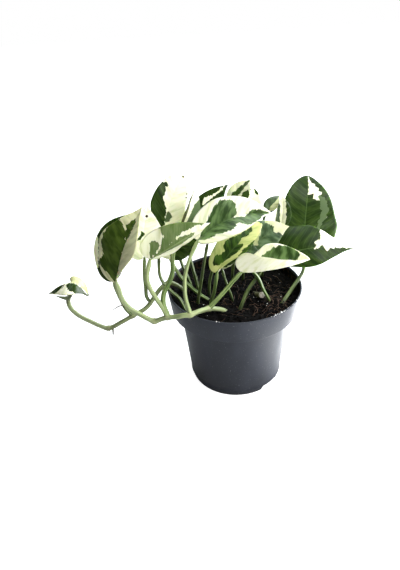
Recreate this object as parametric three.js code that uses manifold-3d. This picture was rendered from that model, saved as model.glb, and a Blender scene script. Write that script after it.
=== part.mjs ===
// A potted pothos in a round nursery pot. Millimetres, +Z up.
// The origin is the middle of the pot's foot. -Y is the front, and the plant leans out over -X.
import * as THREE from "three";
import { mergeVertices } from "three/addons/utils/BufferGeometryUtils.js";
import Module from "manifold-3d";

const wasm = await Module();
wasm.setup();

// Pot
const POT_HEIGHT = 95.5;
const RIM_RADIUS = 60;
const COLLAR_HEIGHT = 21;
const COLLAR_FOOT_RADIUS = 57.5;
const BODY_TOP_RADIUS = 50;
const FOOT_RADIUS = 42.7;
const WALL = 1.6;
const FLOOR = 3.6;
const EDGE_ROUNDING = 0.5;
const POT_SIDES = 56;
const DRAIN_HOLES = 6;
const DRAIN_HOLE_RADIUS = 4;
const DRAIN_RING_RADIUS = 27;
const NOTCHES = 2;
const NOTCH_WIDTH = 23;
const NOTCH_HEIGHT = 2.7;
const NOTCH_DEPTH = 6;
const NOTCH_FIRST_ANGLE = -43;

// Soil
const SOIL_TOP = 87;
const SOIL_SIDES = 40;
const SOIL_RINGS = 5;
const SOIL_UNEVENNESS = 0.9;

// Clearance between pieces that touch in the real plant
const GAP = 0.3;

// Leaf blades
const BLADE = 0.8;
const BLADE_ROWS = 11;
const BLADE_COLUMNS = 3;
const VEIN_SWEEP = 2;
const FULLEST = 0.35;

// Stems and petioles
const STEM_SIDES = 7;
const STEP_LENGTH = 6;
const NODE_SWELLING = 1.35;
const SEAT_STEP = 0.05;

const GREEN = { color: 0x3f6b2e, roughness: 0.38, metalness: 0 };
const CREAM = { color: 0xe6e6b4, roughness: 0.45, metalness: 0 };
const STEM_GREEN = { color: 0x7f9a58, roughness: 0.45, metalness: 0 };
const STEM_LIGHT = { color: 0xa8c47c, roughness: 0.45, metalness: 0 };
const POT_GREY = { color: 0x3c3e44, roughness: 0.55, metalness: 0 };
const SOIL_BROWN = { color: 0x1c1512, roughness: 0.95, metalness: 0 };
const CUT_STEM = { color: 0xcdb295, roughness: 0.7, metalness: 0 };

// The blade's flat outline: [along the midrib, out from it], as shares of its length and half width
const BLADE_OUTLINE = [
  [0, 0],
  [-0.035, 0.22],
  [-0.02, 0.5],
  [0.07, 0.8],
  [0.22, 0.97],
  [0.4, 0.98],
  [0.59, 0.82],
  [0.77, 0.52],
  [0.91, 0.19],
  [1, 0],
];

// The outline of a half that narrows to its base
const WEDGE_OUTLINE = [
  [0, 0],
  [0.05, 0.05],
  [0.11, 0.14],
  [0.18, 0.3],
  [0.29, 0.55],
  [0.43, 0.82],
  [0.59, 0.82],
  [0.77, 0.52],
  [0.91, 0.19],
  [1, 0],
];

// Each leaf: the ends of its midrib and the way that its upper side faces. arch bows the midrib
// towards that side, bend to the leaf's right, and hook moves the bow to the tip. Each half has
// its width, its angle at the midrib and at its margin, and how much it narrows to its base, or
// below 0 widens there. roll changes the angles of the two halves from base to tip, and full
// rounds out the half of the blade that has the tip.
const LEAVES = {
  // Small last leaf of the long vine
  leaf_01: {
    base: [-130, -9, 99], tip: [-162, -14, 105], face: [0.1, -0.45, 0.85], arch: 19, bend: 0, hook: -0.3,
    left: [13, 5, -10, 0.7], right: [14.5, -65, -70, 0.1], roll: [0, -195],
  },
  // Large leaf at the left, and the one behind it
  leaf_02: {
    base: [-98, -35, 125], tip: [-71, -15, 181], face: [-0.45, -0.85, 0.3], arch: 6, bend: -0.5, full: -0.4,
    left: [28.5, 5, -25, 0.3], right: [20, 40, 15, 1],
  },
  leaf_03: {
    base: [-104, -15, 115], tip: [-84, 3, 168], face: [-0.5, -0.8, 0.3], arch: 5, bend: -6,
    left: [23, 5, -20, 0.3], right: [22, 10, 10, 0.5],
  },
  // Cream leaf behind the large left one
  leaf_04: {
    base: [-77, 0, 128], tip: [-71, 20, 167], face: [0.1, -0.85, 0.4], arch: 4, bend: -2,
    left: [16, 10, 0, 0], right: [18, 10, 0, 0], cream: true,
  },
  // Upright leaf, half green and half cream
  leaf_05: {
    base: [-61, 17, 142], tip: [-40, 40, 185], face: [0.1, -0.9, 0.3], arch: 4, bend: -2.5, full: 1.1,
    left: [17.5, 20, 0, 0.5], right: [15, 15, 0, 0],
  },
  // Leaf seen edge on
  leaf_06: {
    base: [-46, 5, 148], tip: [-30, 20, 182], face: [0.75, -0.6, 0.3], arch: 3, bend: 0,
    left: [11, 40, 20, 0.4], right: [11, 40, 20, 0.4],
  },
  // Front left leaf, seen from below
  leaf_07: {
    base: [-69, -30, 142], tip: [-20, -34, 172], face: [-0.3, 0.93, 0.1], arch: -4, bend: 3,
    left: [21, 32, 45, 0], right: [19, 10, 20, 0],
  },
  // Shaded leaves under it
  leaf_08: {
    base: [-64, -6, 132], tip: [-30, 4, 137], face: [0.1, -0.85, 0.5], arch: 3, bend: 0,
    left: [11, 8, -8, 0], right: [11, 8, -8, 0.7],
  },
  leaf_20: {
    base: [-50, -14, 145], tip: [-26, 0, 151], face: [0, -0.85, 0.5], arch: 3, bend: 0,
    left: [11, 8, -8, 0], right: [10, 8, -8, 0.5],
  },
  // Dark leaf behind the centre
  leaf_09: {
    base: [-38, 15, 148], tip: [-1, 27, 179], face: [-0.3, -0.8, 0.5], arch: 4, bend: -2,
    left: [9, 15, 0, 0], right: [16, 15, 0, 0],
  },
  // Large central leaf
  leaf_10: {
    base: [-30, -25.5, 154], tip: [30, -15, 168], face: [0, -0.49, 0.87], arch: 6, bend: -5,
    left: [20, 29, 20, 0.2], right: [21.5, 27, 0, 0.3],
  },
  // Leaf in the shade under it
  leaf_21: {
    base: [-22, -7, 142], tip: [-26, 9, 155], face: [-0.1, -0.8, 0.5], arch: 2, bend: 0,
    left: [9, 8, -8, 0], right: [9, 8, -8, 0],
  },
  // Leaves at the top of the crown
  leaf_11: {
    base: [3, 30, 160], tip: [19, 40, 177], face: [-0.4, -0.8, 0.4], arch: 3, bend: 0,
    left: [10, 20, 0, 0], right: [10, 20, 0, 0],
  },
  leaf_24: {
    base: [14, 42, 153], tip: [18, 50, 169], face: [0, -0.8, 0.5], arch: 2, bend: 0,
    left: [9, 10, 0, 0], right: [8, 10, 0, 0],
  },
  leaf_12: {
    base: [18, 34, 150], tip: [23, 45, 168], face: [0, -0.8, 0.5], arch: 3, bend: 0,
    left: [7, 20, 0, 0], right: [9, 20, 0, 0],
  },
  leaf_13: {
    base: [31, 22, 156], tip: [43, 27, 166], face: [0, -0.8, 0.5], arch: 2, bend: 0,
    left: [6, 20, 0, 0], right: [6, 20, 0, 0],
  },
  leaf_14: {
    base: [43, 15, 144], tip: [45, 24, 167], face: [0.2, -0.8, 0.3], arch: 2, bend: 0,
    left: [9, 20, 30, 0], right: [8, 20, 0, 0],
  },
  // Large upright leaf at the right
  leaf_15: {
    base: [67, 22, 120], tip: [74, 56, 172], face: [0.05, -0.95, 0.25], arch: 9, bend: -3, hook: 0.6,
    full: 0.8, left: [23, 8, -5, 0.3], right: [26, 8, -5, -0.5],
  },
  // Leaf pointing right
  leaf_16: {
    base: [28, -2, 117], tip: [104, -5, 126], face: [0, -0.5, 0.85], arch: 11, bend: -1, full: -0.6,
    left: [25, 15, -10, 0], right: [19, -10, -30, 0.7], roll: [-50, 0],
  },
  // Folded leaf at the front right
  leaf_17: {
    base: [4, -25, 122], tip: [59, -30, 133], face: [0, -0.05, 1], arch: -3, bend: 0, full: 0.7,
    left: [23, 58, 60, 0.6], right: [19, 60, 60, -0.5], roll: [0, -40], cream: true,
  },
  leaf_22: {
    base: [11, -17, 122], tip: [14, -13, 140], face: [-0.1, -0.7, 0.7], arch: 3, bend: 0, full: 1,
    left: [10, 0, -10, 0], right: [10, 0, -10, 0],
  },
  leaf_23: {
    base: [-11, -6, 116], tip: [4, -11, 129], face: [0, -0.5, 0.8], arch: 2, bend: 0,
    left: [8, 10, 0, 0.4], right: [4, -20, -70, 0.4],
  },
  // Lime leaf in the centre
  leaf_18: {
    base: [-16, -25, 123], tip: [23.5, 3, 152], face: [-0.3, -0.7, 0.65], arch: 6, bend: -1, full: 1,
    left: [17, 0, -20, 0.1], right: [13, 30, 5, 0.9],
  },
  // Leaf between the centre and the right
  leaf_19: {
    base: [9, -4, 125], tip: [48, 4, 147], face: [-0.2, -0.6, 0.75], arch: 5, bend: -3,
    left: [18, 10, -10, 0], right: [16, 5, -10, 0],
  },
};

// Stems: the first point of one that is rooted lies in the soil. A petiole goes on to its leaf.
const STEMS = {
  vine_left: {
    look: STEM_GREEN,
    nodes: [[-93, -11, 75], [-116, -14, 65]],
    runs: [
      { radius: 1.8, through: [
        [-44, 9, 81], [-49, 8, 90], [-59, 4, 98.5], [-65, 1, 96], [-70, -2, 91.5], [-80, -8, 81],
        [-93, -11, 75], [-102, -13, 71], [-116, -14, 65], [-123, -15, 69], [-130, -15, 74],
        [-139, -16, 82], [-145, -16, 91], [-146, -14, 98], [-143, -10, 102.5], [-136, -8, 104],
      ], leaf: "leaf_01" },
      { radius: 1.2, through: [
        [-93, -11, 75], [-98, -12, 83], [-101, -13, 94], [-103, -14, 104],
      ], leaf: "leaf_03" },
      { radius: 1.3, through: [
        [-70, -2, 91.5], [-76, -6, 86], [-79, -6, 91], [-79, -5, 100], [-79, -2, 111],
      ], leaf: "leaf_04" },
    ],
  },
  vine_front: {
    look: STEM_LIGHT,
    nodes: [[-25, -39, 97], [-40, -48, 98.5], [-59, -42, 93], [-71, -38, 87]],
    runs: [
      { radius: 1.9, through: [
        [-8, -26, 83], [-14, -30, 89], [-21, -35, 94], [-25, -39, 97], [-33, -45, 99],
        [-40, -48, 98.5], [-46, -48, 98], [-52, -45, 95], [-59, -42, 93], [-65, -40, 90],
        [-71, -38, 87], [-76, -38, 90], [-82, -37, 94], [-90, -36, 100], [-95, -36, 109],
      ], leaf: "leaf_02" },
      { radius: 1.5, through: [
        [-59, -42, 93], [-63, -40, 102], [-68, -38, 111], [-72, -35, 119], [-73, -33, 126],
      ], leaf: "leaf_07" },
      { radius: 1.7, through: [
        [-59, -42, 93], [-62, -37, 104], [-61, -33, 111], [-57, -28, 117], [-53, -22, 124],
        [-52, -17, 134],
      ], leaf: "leaf_20" },
      { radius: 1.3, through: [
        [-40, -48, 98.5], [-43, -44, 113], [-43, -41, 122], [-42, -38, 130], [-38, -34, 141],
      ], leaf: "leaf_10" },
      { radius: 1.5, through: [[-25, -39, 97], [-13, -33, 107], [-3, -28, 116]], leaf: "leaf_17" },
    ],
  },
  petiole_05: {
    look: STEM_LIGHT,
    runs: [{ radius: 1.3, through: [
      [-19, -12, 80], [-24, -10, 86], [-31, -7, 90], [-38, -3, 95], [-46, 2, 102], [-52, 7, 111],
      [-58, 12, 126],
    ], leaf: "leaf_05" }],
  },
  petiole_06: {
    look: STEM_GREEN,
    runs: [{ radius: 1.2, through: [[-36, 6, 80], [-40, 8, 95], [-47, 9, 120]], leaf: "leaf_06" }],
  },
  petiole_08: {
    look: STEM_GREEN,
    runs: [{ radius: 1.2, through: [
      [-39, -26, 80], [-44, -24, 86], [-49, -19, 95], [-56, -14, 100], [-62, -10, 106],
      [-65, -7, 113],
    ], leaf: "leaf_08" }],
  },
  petiole_09: {
    look: STEM_GREEN,
    runs: [{ radius: 1.2, through: [
      [-29, -3, 80], [-31, -2, 86], [-34, 3, 100], [-38, 9, 120],
    ], leaf: "leaf_09" }],
  },
  petiole_21: {
    look: STEM_GREEN,
    runs: [{ radius: 1.2, through: [
      [-34, -17, 80], [-33, -16, 91], [-30, -13, 105], [-27, -10, 120],
    ], leaf: "leaf_21" }],
  },
  petiole_11: {
    look: STEM_GREEN,
    runs: [{ radius: 1.2, through: [
      [-23, -2, 80], [-22, 4, 95], [-18, 10, 108], [-9, 20, 132],
    ], leaf: "leaf_11" }],
  },
  petiole_24: {
    look: STEM_GREEN,
    runs: [{ radius: 1.2, through: [[0, 24, 80], [2, 28, 100], [8, 37, 130]], leaf: "leaf_24" }],
  },
  petiole_12: {
    look: STEM_GREEN,
    runs: [{ radius: 1.2, through: [[10, 20, 80], [11, 24, 100], [15, 30, 130]], leaf: "leaf_12" }],
  },
  petiole_13: {
    look: STEM_GREEN,
    runs: [{ radius: 1.1, through: [[22, 28, 80], [23, 29, 100], [27, 27, 130]], leaf: "leaf_13" }],
  },
  petiole_14: {
    look: STEM_GREEN,
    runs: [{ radius: 1.1, through: [[28, 24, 80], [31, 26, 100], [38, 24, 125]], leaf: "leaf_14" }],
  },
  petiole_15: {
    look: STEM_GREEN,
    runs: [{ radius: 1.4, through: [
      [36, -26, 82], [40, -22, 87], [50, -10, 93], [58, 0, 97], [64, 9, 101],
    ], leaf: "leaf_15" }],
  },
  petiole_16: {
    look: STEM_GREEN,
    runs: [{ radius: 1.5, through: [
      [0, -28, 80], [3, -26, 87], [11, -16, 99], [18, -10, 105],
    ], leaf: "leaf_16" }],
  },
  petiole_22: {
    look: STEM_LIGHT,
    runs: [{ radius: 1.2, through: [
      [31, -20, 80], [29, -18, 87], [24, -15, 97], [20, -12, 107],
    ], leaf: "leaf_22" }],
  },
  petiole_19: {
    look: STEM_GREEN,
    runs: [{ radius: 1.3, through: [
      [28, 5, 80], [25, 4, 90], [19, 0, 103], [13, -3, 114],
    ], leaf: "leaf_19" }],
  },
  petiole_23: {
    look: STEM_GREEN,
    runs: [{ radius: 1, through: [[-2, -15, 80], [-3, -13, 88], [-8, -9, 104]], leaf: "leaf_23" }],
  },
  petiole_18: {
    look: STEM_LIGHT,
    runs: [{ radius: 1.4, through: [[-23, -21, 80], [-22, -22, 91], [-19, -23, 103]], leaf: "leaf_18" }],
  },
  cut_stem: {
    look: CUT_STEM,
    runs: [{ radius: 2.7, through: [[16, 4, 81], [20.5, -7, 86.5], [23.5, -15, 91.5]] }],
  },
};

// A geometry's corners shared and its empty triangles dropped
function shareCorners(geometry) {
  geometry.deleteAttribute("normal");
  geometry.deleteAttribute("uv");
  const merged = mergeVertices(geometry, 1e-4);
  const index = merged.index.array;
  const kept = [];
  for (let i = 0; i < index.length; i += 3) {
    const [a, b, c] = [index[i], index[i + 1], index[i + 2]];
    if (a !== b && b !== c && c !== a) {
      kept.push(a, b, c);
    }
  }
  merged.setIndex(kept);
  return merged;
}

// A closed geometry as a solid that can be joined and cut
function solidOf(geometry) {
  const merged = shareCorners(geometry);
  return new wasm.Manifold(new wasm.Mesh({
    numProp: 3,
    vertProperties: new Float32Array(merged.attributes.position.array),
    triVerts: new Uint32Array(merged.index.array),
  }));
}

function geometryOf(solid) {
  const { vertProperties, triVerts } = solid.getMesh();
  const geometry = new THREE.BufferGeometry();
  geometry.setAttribute("position", new THREE.BufferAttribute(vertProperties, 3));
  geometry.setIndex(new THREE.BufferAttribute(triVerts, 1));
  geometry.computeVertexNormals();
  return geometry;
}

function joined(solids) {
  return solids.reduce((sum, solid) => sum.add(solid));
}

function meshOf(name, geometry, look) {
  const mesh = new THREE.Mesh(geometry, new THREE.MeshStandardMaterial(look));
  mesh.name = name;
  return mesh;
}

// A closed profile of [radius, height] points turned about the Z axis
function turned(profile, sides) {
  const points = profile.map(([radius, height]) => new THREE.Vector2(radius, height));
  return new THREE.LatheGeometry(points, sides).rotateX(Math.PI / 2);
}

function uprightCylinder(radius, bottom, top, x, y, sides) {
  const geometry = new THREE.CylinderGeometry(radius, radius, top - bottom, sides);
  return geometry.rotateX(Math.PI / 2).translate(x, y, (bottom + top) / 2);
}

// Places at an equal spacing round a circle
function aroundCircle(count, radius, firstAngle) {
  return Array.from({ length: count }, (_, i) => {
    const angle = THREE.MathUtils.degToRad(firstAngle + (360 * i) / count);
    return [radius * Math.cos(angle), radius * Math.sin(angle)];
  });
}

// The pot: a tapered cup with a stepped-out collar, drain holes and low gaps under the foot's edge
function makePot() {
  const collarFoot = POT_HEIGHT - COLLAR_HEIGHT;
  const r = EDGE_ROUNDING;
  const cup = solidOf(turned([
    [0, 0],
    [FOOT_RADIUS - r, 0],
    [FOOT_RADIUS, r],
    [BODY_TOP_RADIUS, collarFoot],
    [COLLAR_FOOT_RADIUS - r, collarFoot],
    [COLLAR_FOOT_RADIUS, collarFoot + r],
    [RIM_RADIUS, POT_HEIGHT - r],
    [RIM_RADIUS - r, POT_HEIGHT],
    [RIM_RADIUS - WALL, POT_HEIGHT],
    [COLLAR_FOOT_RADIUS - WALL, collarFoot + WALL],
    [BODY_TOP_RADIUS - WALL, collarFoot + WALL],
    [FOOT_RADIUS - WALL, FLOOR],
    [0, FLOOR],
  ], POT_SIDES));
  const holes = aroundCircle(DRAIN_HOLES, DRAIN_RING_RADIUS, 0).map(([x, y]) =>
    solidOf(uprightCylinder(DRAIN_HOLE_RADIUS, -1, FLOOR + 1, x, y, 12)));
  const gaps = aroundCircle(NOTCHES, FOOT_RADIUS, NOTCH_FIRST_ANGLE).map(([x, y]) =>
    solidOf(new THREE.BoxGeometry(2 * NOTCH_DEPTH, NOTCH_WIDTH, 2 * NOTCH_HEIGHT)
      .rotateZ(Math.atan2(y, x)).translate(x, y, 0)));
  const cut = [...holes, ...gaps].reduce((rest, tool) => rest.subtract(tool), cup);
  return meshOf("pot", geometryOf(cut), POT_GREY);
}

// How far the soil stands above or below its usual level at a place
function soilRelief(x, y) {
  const broad = Math.sin(x * 0.11 + 0.7) * Math.cos(y * 0.13 - 0.4);
  const fine = 0.6 * Math.sin(x * 0.27 - y * 0.19 + 1.1);
  return SOIL_UNEVENNESS * (broad + fine);
}

// The soil fills the pot, and each rooted stem stands in a hole in it
function makeSoil(roots) {
  const collarFoot = POT_HEIGHT - COLLAR_HEIGHT;
  const topRadius = THREE.MathUtils.mapLinear(
    SOIL_TOP, collarFoot, POT_HEIGHT, COLLAR_FOOT_RADIUS, RIM_RADIUS) - WALL - GAP;
  const rings = Array.from({ length: SOIL_RINGS }, (_, i) => [topRadius * (1 - i / SOIL_RINGS), SOIL_TOP]);
  const body = turned([
    [0, FLOOR + GAP],
    [FOOT_RADIUS - WALL - GAP, FLOOR + GAP],
    [BODY_TOP_RADIUS - WALL - GAP, collarFoot + WALL + GAP],
    [COLLAR_FOOT_RADIUS - WALL - GAP, collarFoot + WALL + GAP],
    ...rings,
    [0, SOIL_TOP],
  ], SOIL_SIDES);
  const place = body.attributes.position;
  for (let i = 0; i < place.count; i++) {
    if (place.getZ(i) > SOIL_TOP - GAP) {
      place.setZ(i, SOIL_TOP + soilRelief(place.getX(i), place.getY(i)));
    }
  }
  const soil = roots.reduce((rest, hole) => rest.subtract(hole), solidOf(body));
  return meshOf("soil", geometryOf(soil), SOIL_BROWN);
}

// The blade's middle surface: where the point at a share along the midrib and a share of the half
// width out from it, negative to the left, lies in space
function bladeSurface({ base, tip, face, arch, bend, hook = 0, roll = [0, 0], left, right }) {
  const start = new THREE.Vector3(...base);
  const span = new THREE.Vector3(...tip).sub(start);
  const along = span.clone().normalize();
  const up = new THREE.Vector3(...face);
  up.addScaledVector(along, -up.dot(along)).normalize();
  const aside = along.clone().cross(up);

  const midrib = (s) => {
    const bow = 4 * s * (1 - s);
    const lift = arch * bow * (1 + hook * (2 * s - 1));
    const straight = start.clone().addScaledVector(span, s);
    return straight.addScaledVector(up, lift).addScaledVector(aside, bend * bow);
  };

  return (s, out) => {
    const tangent = midrib(s + 0.01).sub(midrib(s - 0.01)).normalize();
    const normal = up.clone().addScaledVector(tangent, -up.dot(tangent)).normalize();
    const across = tangent.clone().cross(normal);
    const [width, first, last] = out < 0 ? left : right;
    const share = Math.abs(out);
    const a = THREE.MathUtils.degToRad(first + roll[out < 0 ? 0 : 1] * (s - 0.5));
    const turn = THREE.MathUtils.degToRad(last - first) * share;
    const chord = Math.abs(turn) < 1e-4 ? share * width : (share * width * 2 * Math.sin(turn / 2)) / turn;
    const reach = chord * Math.cos(a + turn / 2) * Math.sign(out);
    const lift = chord * Math.sin(a + turn / 2);
    return midrib(s).addScaledVector(across, reach).addScaledVector(normal, lift);
  };
}

// A blade as a closed sheet: rows of points from base to tip, alike on both faces
function makeBlade(leaf) {
  const { full = 0 } = leaf;
  const surface = bladeSurface(leaf);
  const outlines = [BLADE_OUTLINE, WEDGE_OUTLINE].map((places) =>
    new THREE.SplineCurve(places.map(([x, y]) => new THREE.Vector2(x, y))));
  const columns = 2 * BLADE_COLUMNS + 1;
  const points = [surface(0, 0)];
  for (let row = 1; row < BLADE_ROWS; row++) {
    const t = row / BLADE_ROWS;
    const rib = t ** VEIN_SWEEP;
    const [leftMargin, rightMargin] = [leaf.left, leaf.right].map(([, , , wedge]) => {
      const margin = outlines[0].getPoint(t).lerp(outlines[1].getPoint(t), wedge);
      return { s: margin.x, reach: margin.x > FULLEST ? margin.y ** (1 - full / 2) : margin.y };
    });
    for (let column = -BLADE_COLUMNS; column <= BLADE_COLUMNS; column++) {
      const share = column / BLADE_COLUMNS;
      const margin = column < 0 ? leftMargin : rightMargin;
      points.push(surface(THREE.MathUtils.lerp(rib, margin.s, Math.abs(share)), share * margin.reach));
    }
  }
  points.push(surface(1, 0));

  const tip = points.length - 1;
  const at = (row, column) => 1 + (row - 1) * columns + column;
  const face = [];
  for (let column = 0; column < columns - 1; column++) {
    face.push(0, at(1, column + 1), at(1, column));
    for (let row = 1; row < BLADE_ROWS - 1; row++) {
      const [a, b] = [at(row, column), at(row, column + 1)];
      const [d, c] = [at(row + 1, column), at(row + 1, column + 1)];
      face.push(a, b, c, a, c, d);
    }
    face.push(at(BLADE_ROWS - 1, column), at(BLADE_ROWS - 1, column + 1), tip);
  }
  const rightEdge = Array.from({ length: BLADE_ROWS - 1 }, (_, i) => at(i + 1, columns - 1));
  const leftEdge = Array.from({ length: BLADE_ROWS - 1 }, (_, i) => at(i + 1, 0)).reverse();
  return sheet(points, face, [0, ...rightEdge, tip, ...leftEdge]);
}

// A closed sheet of the blade's thickness from its middle points, its triangles and its margin
function sheet(points, face, margin) {
  const middle = new THREE.BufferGeometry().setFromPoints(points);
  middle.setIndex(face);
  middle.computeVertexNormals();
  const normals = middle.attributes.normal;
  const count = points.length;
  const offset = (side) => points.map((point, i) =>
    point.clone().addScaledVector(new THREE.Vector3().fromBufferAttribute(normals, i), side * BLADE / 2));
  const index = [...face];
  for (let i = 0; i < face.length; i += 3) {
    index.push(face[i] + count, face[i + 2] + count, face[i + 1] + count);
  }
  margin.forEach((here, i) => {
    const next = margin[(i + 1) % margin.length];
    index.push(here, here + count, next + count, here, next + count, next);
  });
  const geometry = new THREE.BufferGeometry().setFromPoints([...offset(1), ...offset(-1)]);
  geometry.setIndex(index);
  geometry.computeVertexNormals();
  return geometry;
}

// A round rod along a smooth line through the given places
function rod(radius, places) {
  const points = places.map((place) => new THREE.Vector3(...place));
  const path = new THREE.CatmullRomCurve3(points, false, "centripetal");
  const steps = Math.max(3, Math.round(path.getLength() / STEP_LENGTH));
  const corners = Array.from({ length: STEM_SIDES }, (_, i) => {
    const angle = (i / STEM_SIDES) * 2 * Math.PI;
    return new THREE.Vector2(radius * Math.cos(angle), radius * Math.sin(angle));
  });
  return solidOf(new THREE.ExtrudeGeometry(new THREE.Shape(corners), {
    steps, bevelEnabled: false, extrudePath: path }));
}

// The places along a run. A petiole goes on towards its leaf's base until the clearance is left.
function runPlaces({ radius, through, leaf }) {
  if (!leaf) {
    return through;
  }
  const blade = solidOf(makeBlade(LEAVES[leaf]));
  const base = new THREE.Vector3(...LEAVES[leaf].base);
  const back = new THREE.Vector3(...through.at(-1)).sub(base).normalize();
  let places = through;
  let short = 0;
  do {
    short += SEAT_STEP;
    places = [...through, base.clone().addScaledVector(back, short).toArray()];
  } while (rod(radius, places).minGap(blade, 2 * GAP) < GAP);
  return places;
}

// One stem with its petioles and the swellings at its nodes
function stemSolid({ runs, nodes = [] }) {
  const rods = runs.map(({ radius, places }) => rod(radius, places));
  const swellings = nodes.map((place) =>
    solidOf(new THREE.SphereGeometry(runs[0].radius * NODE_SWELLING, 8, 6).translate(...place)));
  return joined([...rods, ...swellings]);
}

// The hole that a rooted stem stands in: wider than the stem and deeper by the clearance
function rootHole({ radius, places }) {
  const [first, second] = places.map((place) => new THREE.Vector3(...place));
  const root = first.clone().addScaledVector(first.clone().sub(second).normalize(), GAP);
  return rod(radius + GAP, [root.toArray(), ...places.slice(1)]);
}

const stems = Object.entries(STEMS).map(([name, { look, nodes, runs }]) => ({
  name,
  look,
  nodes,
  runs: runs.map((run) => ({ radius: run.radius, places: runPlaces(run) })),
}));

const plant = new THREE.Group();
plant.add(makePot());
plant.add(makeSoil(stems.map(({ runs }) => rootHole(runs[0]))));
for (const stem of stems) {
  plant.add(meshOf(stem.name, geometryOf(stemSolid(stem)), stem.look));
}
for (const [name, leaf] of Object.entries(LEAVES)) {
  plant.add(meshOf(name, makeBlade(leaf), leaf.cream ? CREAM : GREEN));
}

export default plant;
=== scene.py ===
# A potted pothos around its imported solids: blades with veins and marbling, stems with sheaths
# and nodes, the pot, the soil, and a pale stage. Sizes are in millimetres until a mesh is made.
import math
import bpy
import numpy as np
from mathutils import Matrix, Vector


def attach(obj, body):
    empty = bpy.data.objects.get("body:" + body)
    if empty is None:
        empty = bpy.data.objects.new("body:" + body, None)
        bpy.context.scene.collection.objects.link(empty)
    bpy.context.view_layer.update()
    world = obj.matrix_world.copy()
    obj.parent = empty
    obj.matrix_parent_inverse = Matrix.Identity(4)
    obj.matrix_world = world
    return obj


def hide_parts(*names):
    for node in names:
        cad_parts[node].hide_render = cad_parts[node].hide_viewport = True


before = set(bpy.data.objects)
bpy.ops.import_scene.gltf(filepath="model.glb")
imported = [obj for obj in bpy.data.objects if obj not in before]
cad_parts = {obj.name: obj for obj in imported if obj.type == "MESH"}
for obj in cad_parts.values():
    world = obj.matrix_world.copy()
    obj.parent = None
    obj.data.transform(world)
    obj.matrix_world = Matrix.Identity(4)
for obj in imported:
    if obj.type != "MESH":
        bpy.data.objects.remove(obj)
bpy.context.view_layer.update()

MM = 0.001
FULL_TURN = 2 * math.pi
TINY = 1e-9
NOISE_CELLS = 64

# Pot
POT_HEIGHT = 95.5
RIM_RADIUS = 60
COLLAR_HEIGHT = 21
COLLAR_FOOT = POT_HEIGHT - COLLAR_HEIGHT
COLLAR_FOOT_RADIUS = 57.5
BODY_TOP_RADIUS = 50
FOOT_RADIUS = 42.7
WALL = 1.6
FLOOR = 3.6
EDGE_RADIUS = 0.5
EDGE_STEPS = 4
SHOULDER_DROP = 0.8
SHOULDER_REACH = 0.6
FOOT_RING_HEIGHT = 5
FOOT_LEDGE = 0.4
FOOT_LEDGE_EDGE = 0.3
FOOT_BEAD = 0.45
FOOT_BEAD_HEIGHT = 0.8
BODY_RING_HEIGHTS = np.linspace(10, 65, 8)
DRAIN_HOLES = 6
DRAIN_HOLE_RADIUS = 4
DRAIN_HOLE_SIDES = 32
CUT_CLEARANCE = 1
DRAIN_RING_RADIUS = 27
NOTCHES = 2
NOTCH_WIDTH = 17
NOTCH_FLARE = 5
NOTCH_HEIGHT = 4.8
NOTCH_DEPTH = 6
NOTCH_FIRST_ANGLE = -46
POT_SIDES = 180
SHARP_ANGLE = 35

# Soil: its lumps are given by height and breadth
SOIL_TOP = 87
SOIL_UNEVENNESS = 0.9
SOIL_LUMPS = [(0.9, 7), (0.7, 3), (0.45, 1.3)]
SOIL_SINKING = 0.5
SOIL_RINGS = 90
SOIL_SIDES = 240
GAP = 0.3

# Blades: shape
USUAL_FACE = (0, -0.8, 0.5)
MIDRIB_STEP = 0.01
LEAST_TURN = 1e-4
BLADE_ROWS = 96
BLADE_COLUMNS = 22
COLUMN_CROWDING = 1.35
VEIN_SWEEP = 2
FULLEST = 0.35
FULLEST_SPREAD = 0.1
BLADE_OUTLINE = [
    (0, 0), (-0.035, 0.22), (-0.02, 0.5), (0.07, 0.8), (0.22, 0.97),
    (0.4, 0.98), (0.59, 0.82), (0.77, 0.52), (0.91, 0.19), (1, 0),
]
WEDGE_OUTLINE = [
    (0, 0), (0.05, 0.05), (0.11, 0.14), (0.18, 0.3), (0.29, 0.55), (0.43, 0.82),
] + BLADE_OUTLINE[-4:]
HALF_THICKNESS = 0.32
MARGIN_SHARPNESS = 8
TIP_SHARPNESS = 16
LARGE_HALF_WIDTH = 20
LARGE_WIDTH = 36

# Blades: relief
VEINS = 7
VEIN_SLANT = 0.28
VEIN_CURVE = 1.2
VEIN_STRAIGHTENING = 0.3
VEINS_PER_MM = 0.2
NOISE_START = 20
PILLOW_STRETCH = 1.6
PILLOW_RISE = 4
PILLOW_FALL = 0.75
QUILTING = 0.55
MARGIN_WAVE = 0.5
BROAD_WAVES = 9
FINE_WAVES = 17
FINE_WAVE_SHARE = 0.6
RIB_WIDTH = 0.8
RIB_TAPER = 0.7
GROOVE = 0.25
RIDGE = 0.45

# Blades: how deep the middle of a marking is, and how far apart two leaves lie in the noise
DEEP = 20.0
LEAF_SPACING = 17.0

# Stems
PATH_STEPS = 24
LEAST_STEPS = 4
SIDE_HINT = (0.3, 1, 0.2)
STEM_SIDES = 14
STEM_STEP = 1
STEM_FULLNESS = 1.1
NODE_SWELLING = 1.35
NODE_LENGTH = 2.2
SCAR_PLACE = 1.2
SCAR_WIDTH = 0.45
SCAR_STRENGTH = 0.7
# Where petioles darken towards the soil, in mm along them
DARKENING_FROM = 2
DARKENING_LENGTH = 16
RUN_SPACING = 90
END_REACH = 1.3

# Petioles: their foot, the sheath along their hollow side, and the knee and neck under the blade
FOOT_SWELLING = 0.22
FOOT_LENGTH = 5
SHEATH = 0.38
SHEATH_START = 3
SHEATH_FADE = (0.45, 0.75)
SHEATH_ANGLE = 0.95
SHEATH_WIDTH = 0.3
HOLLOW = 0.14
HOLLOW_WIDTH = 0.6
KNEE_SWELLING = 0.18
KNEE_PLACE = 6
KNEE_LENGTH = 3.5
NECK_THINNING = 0.25
NECK_LENGTH = 2.5

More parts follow.
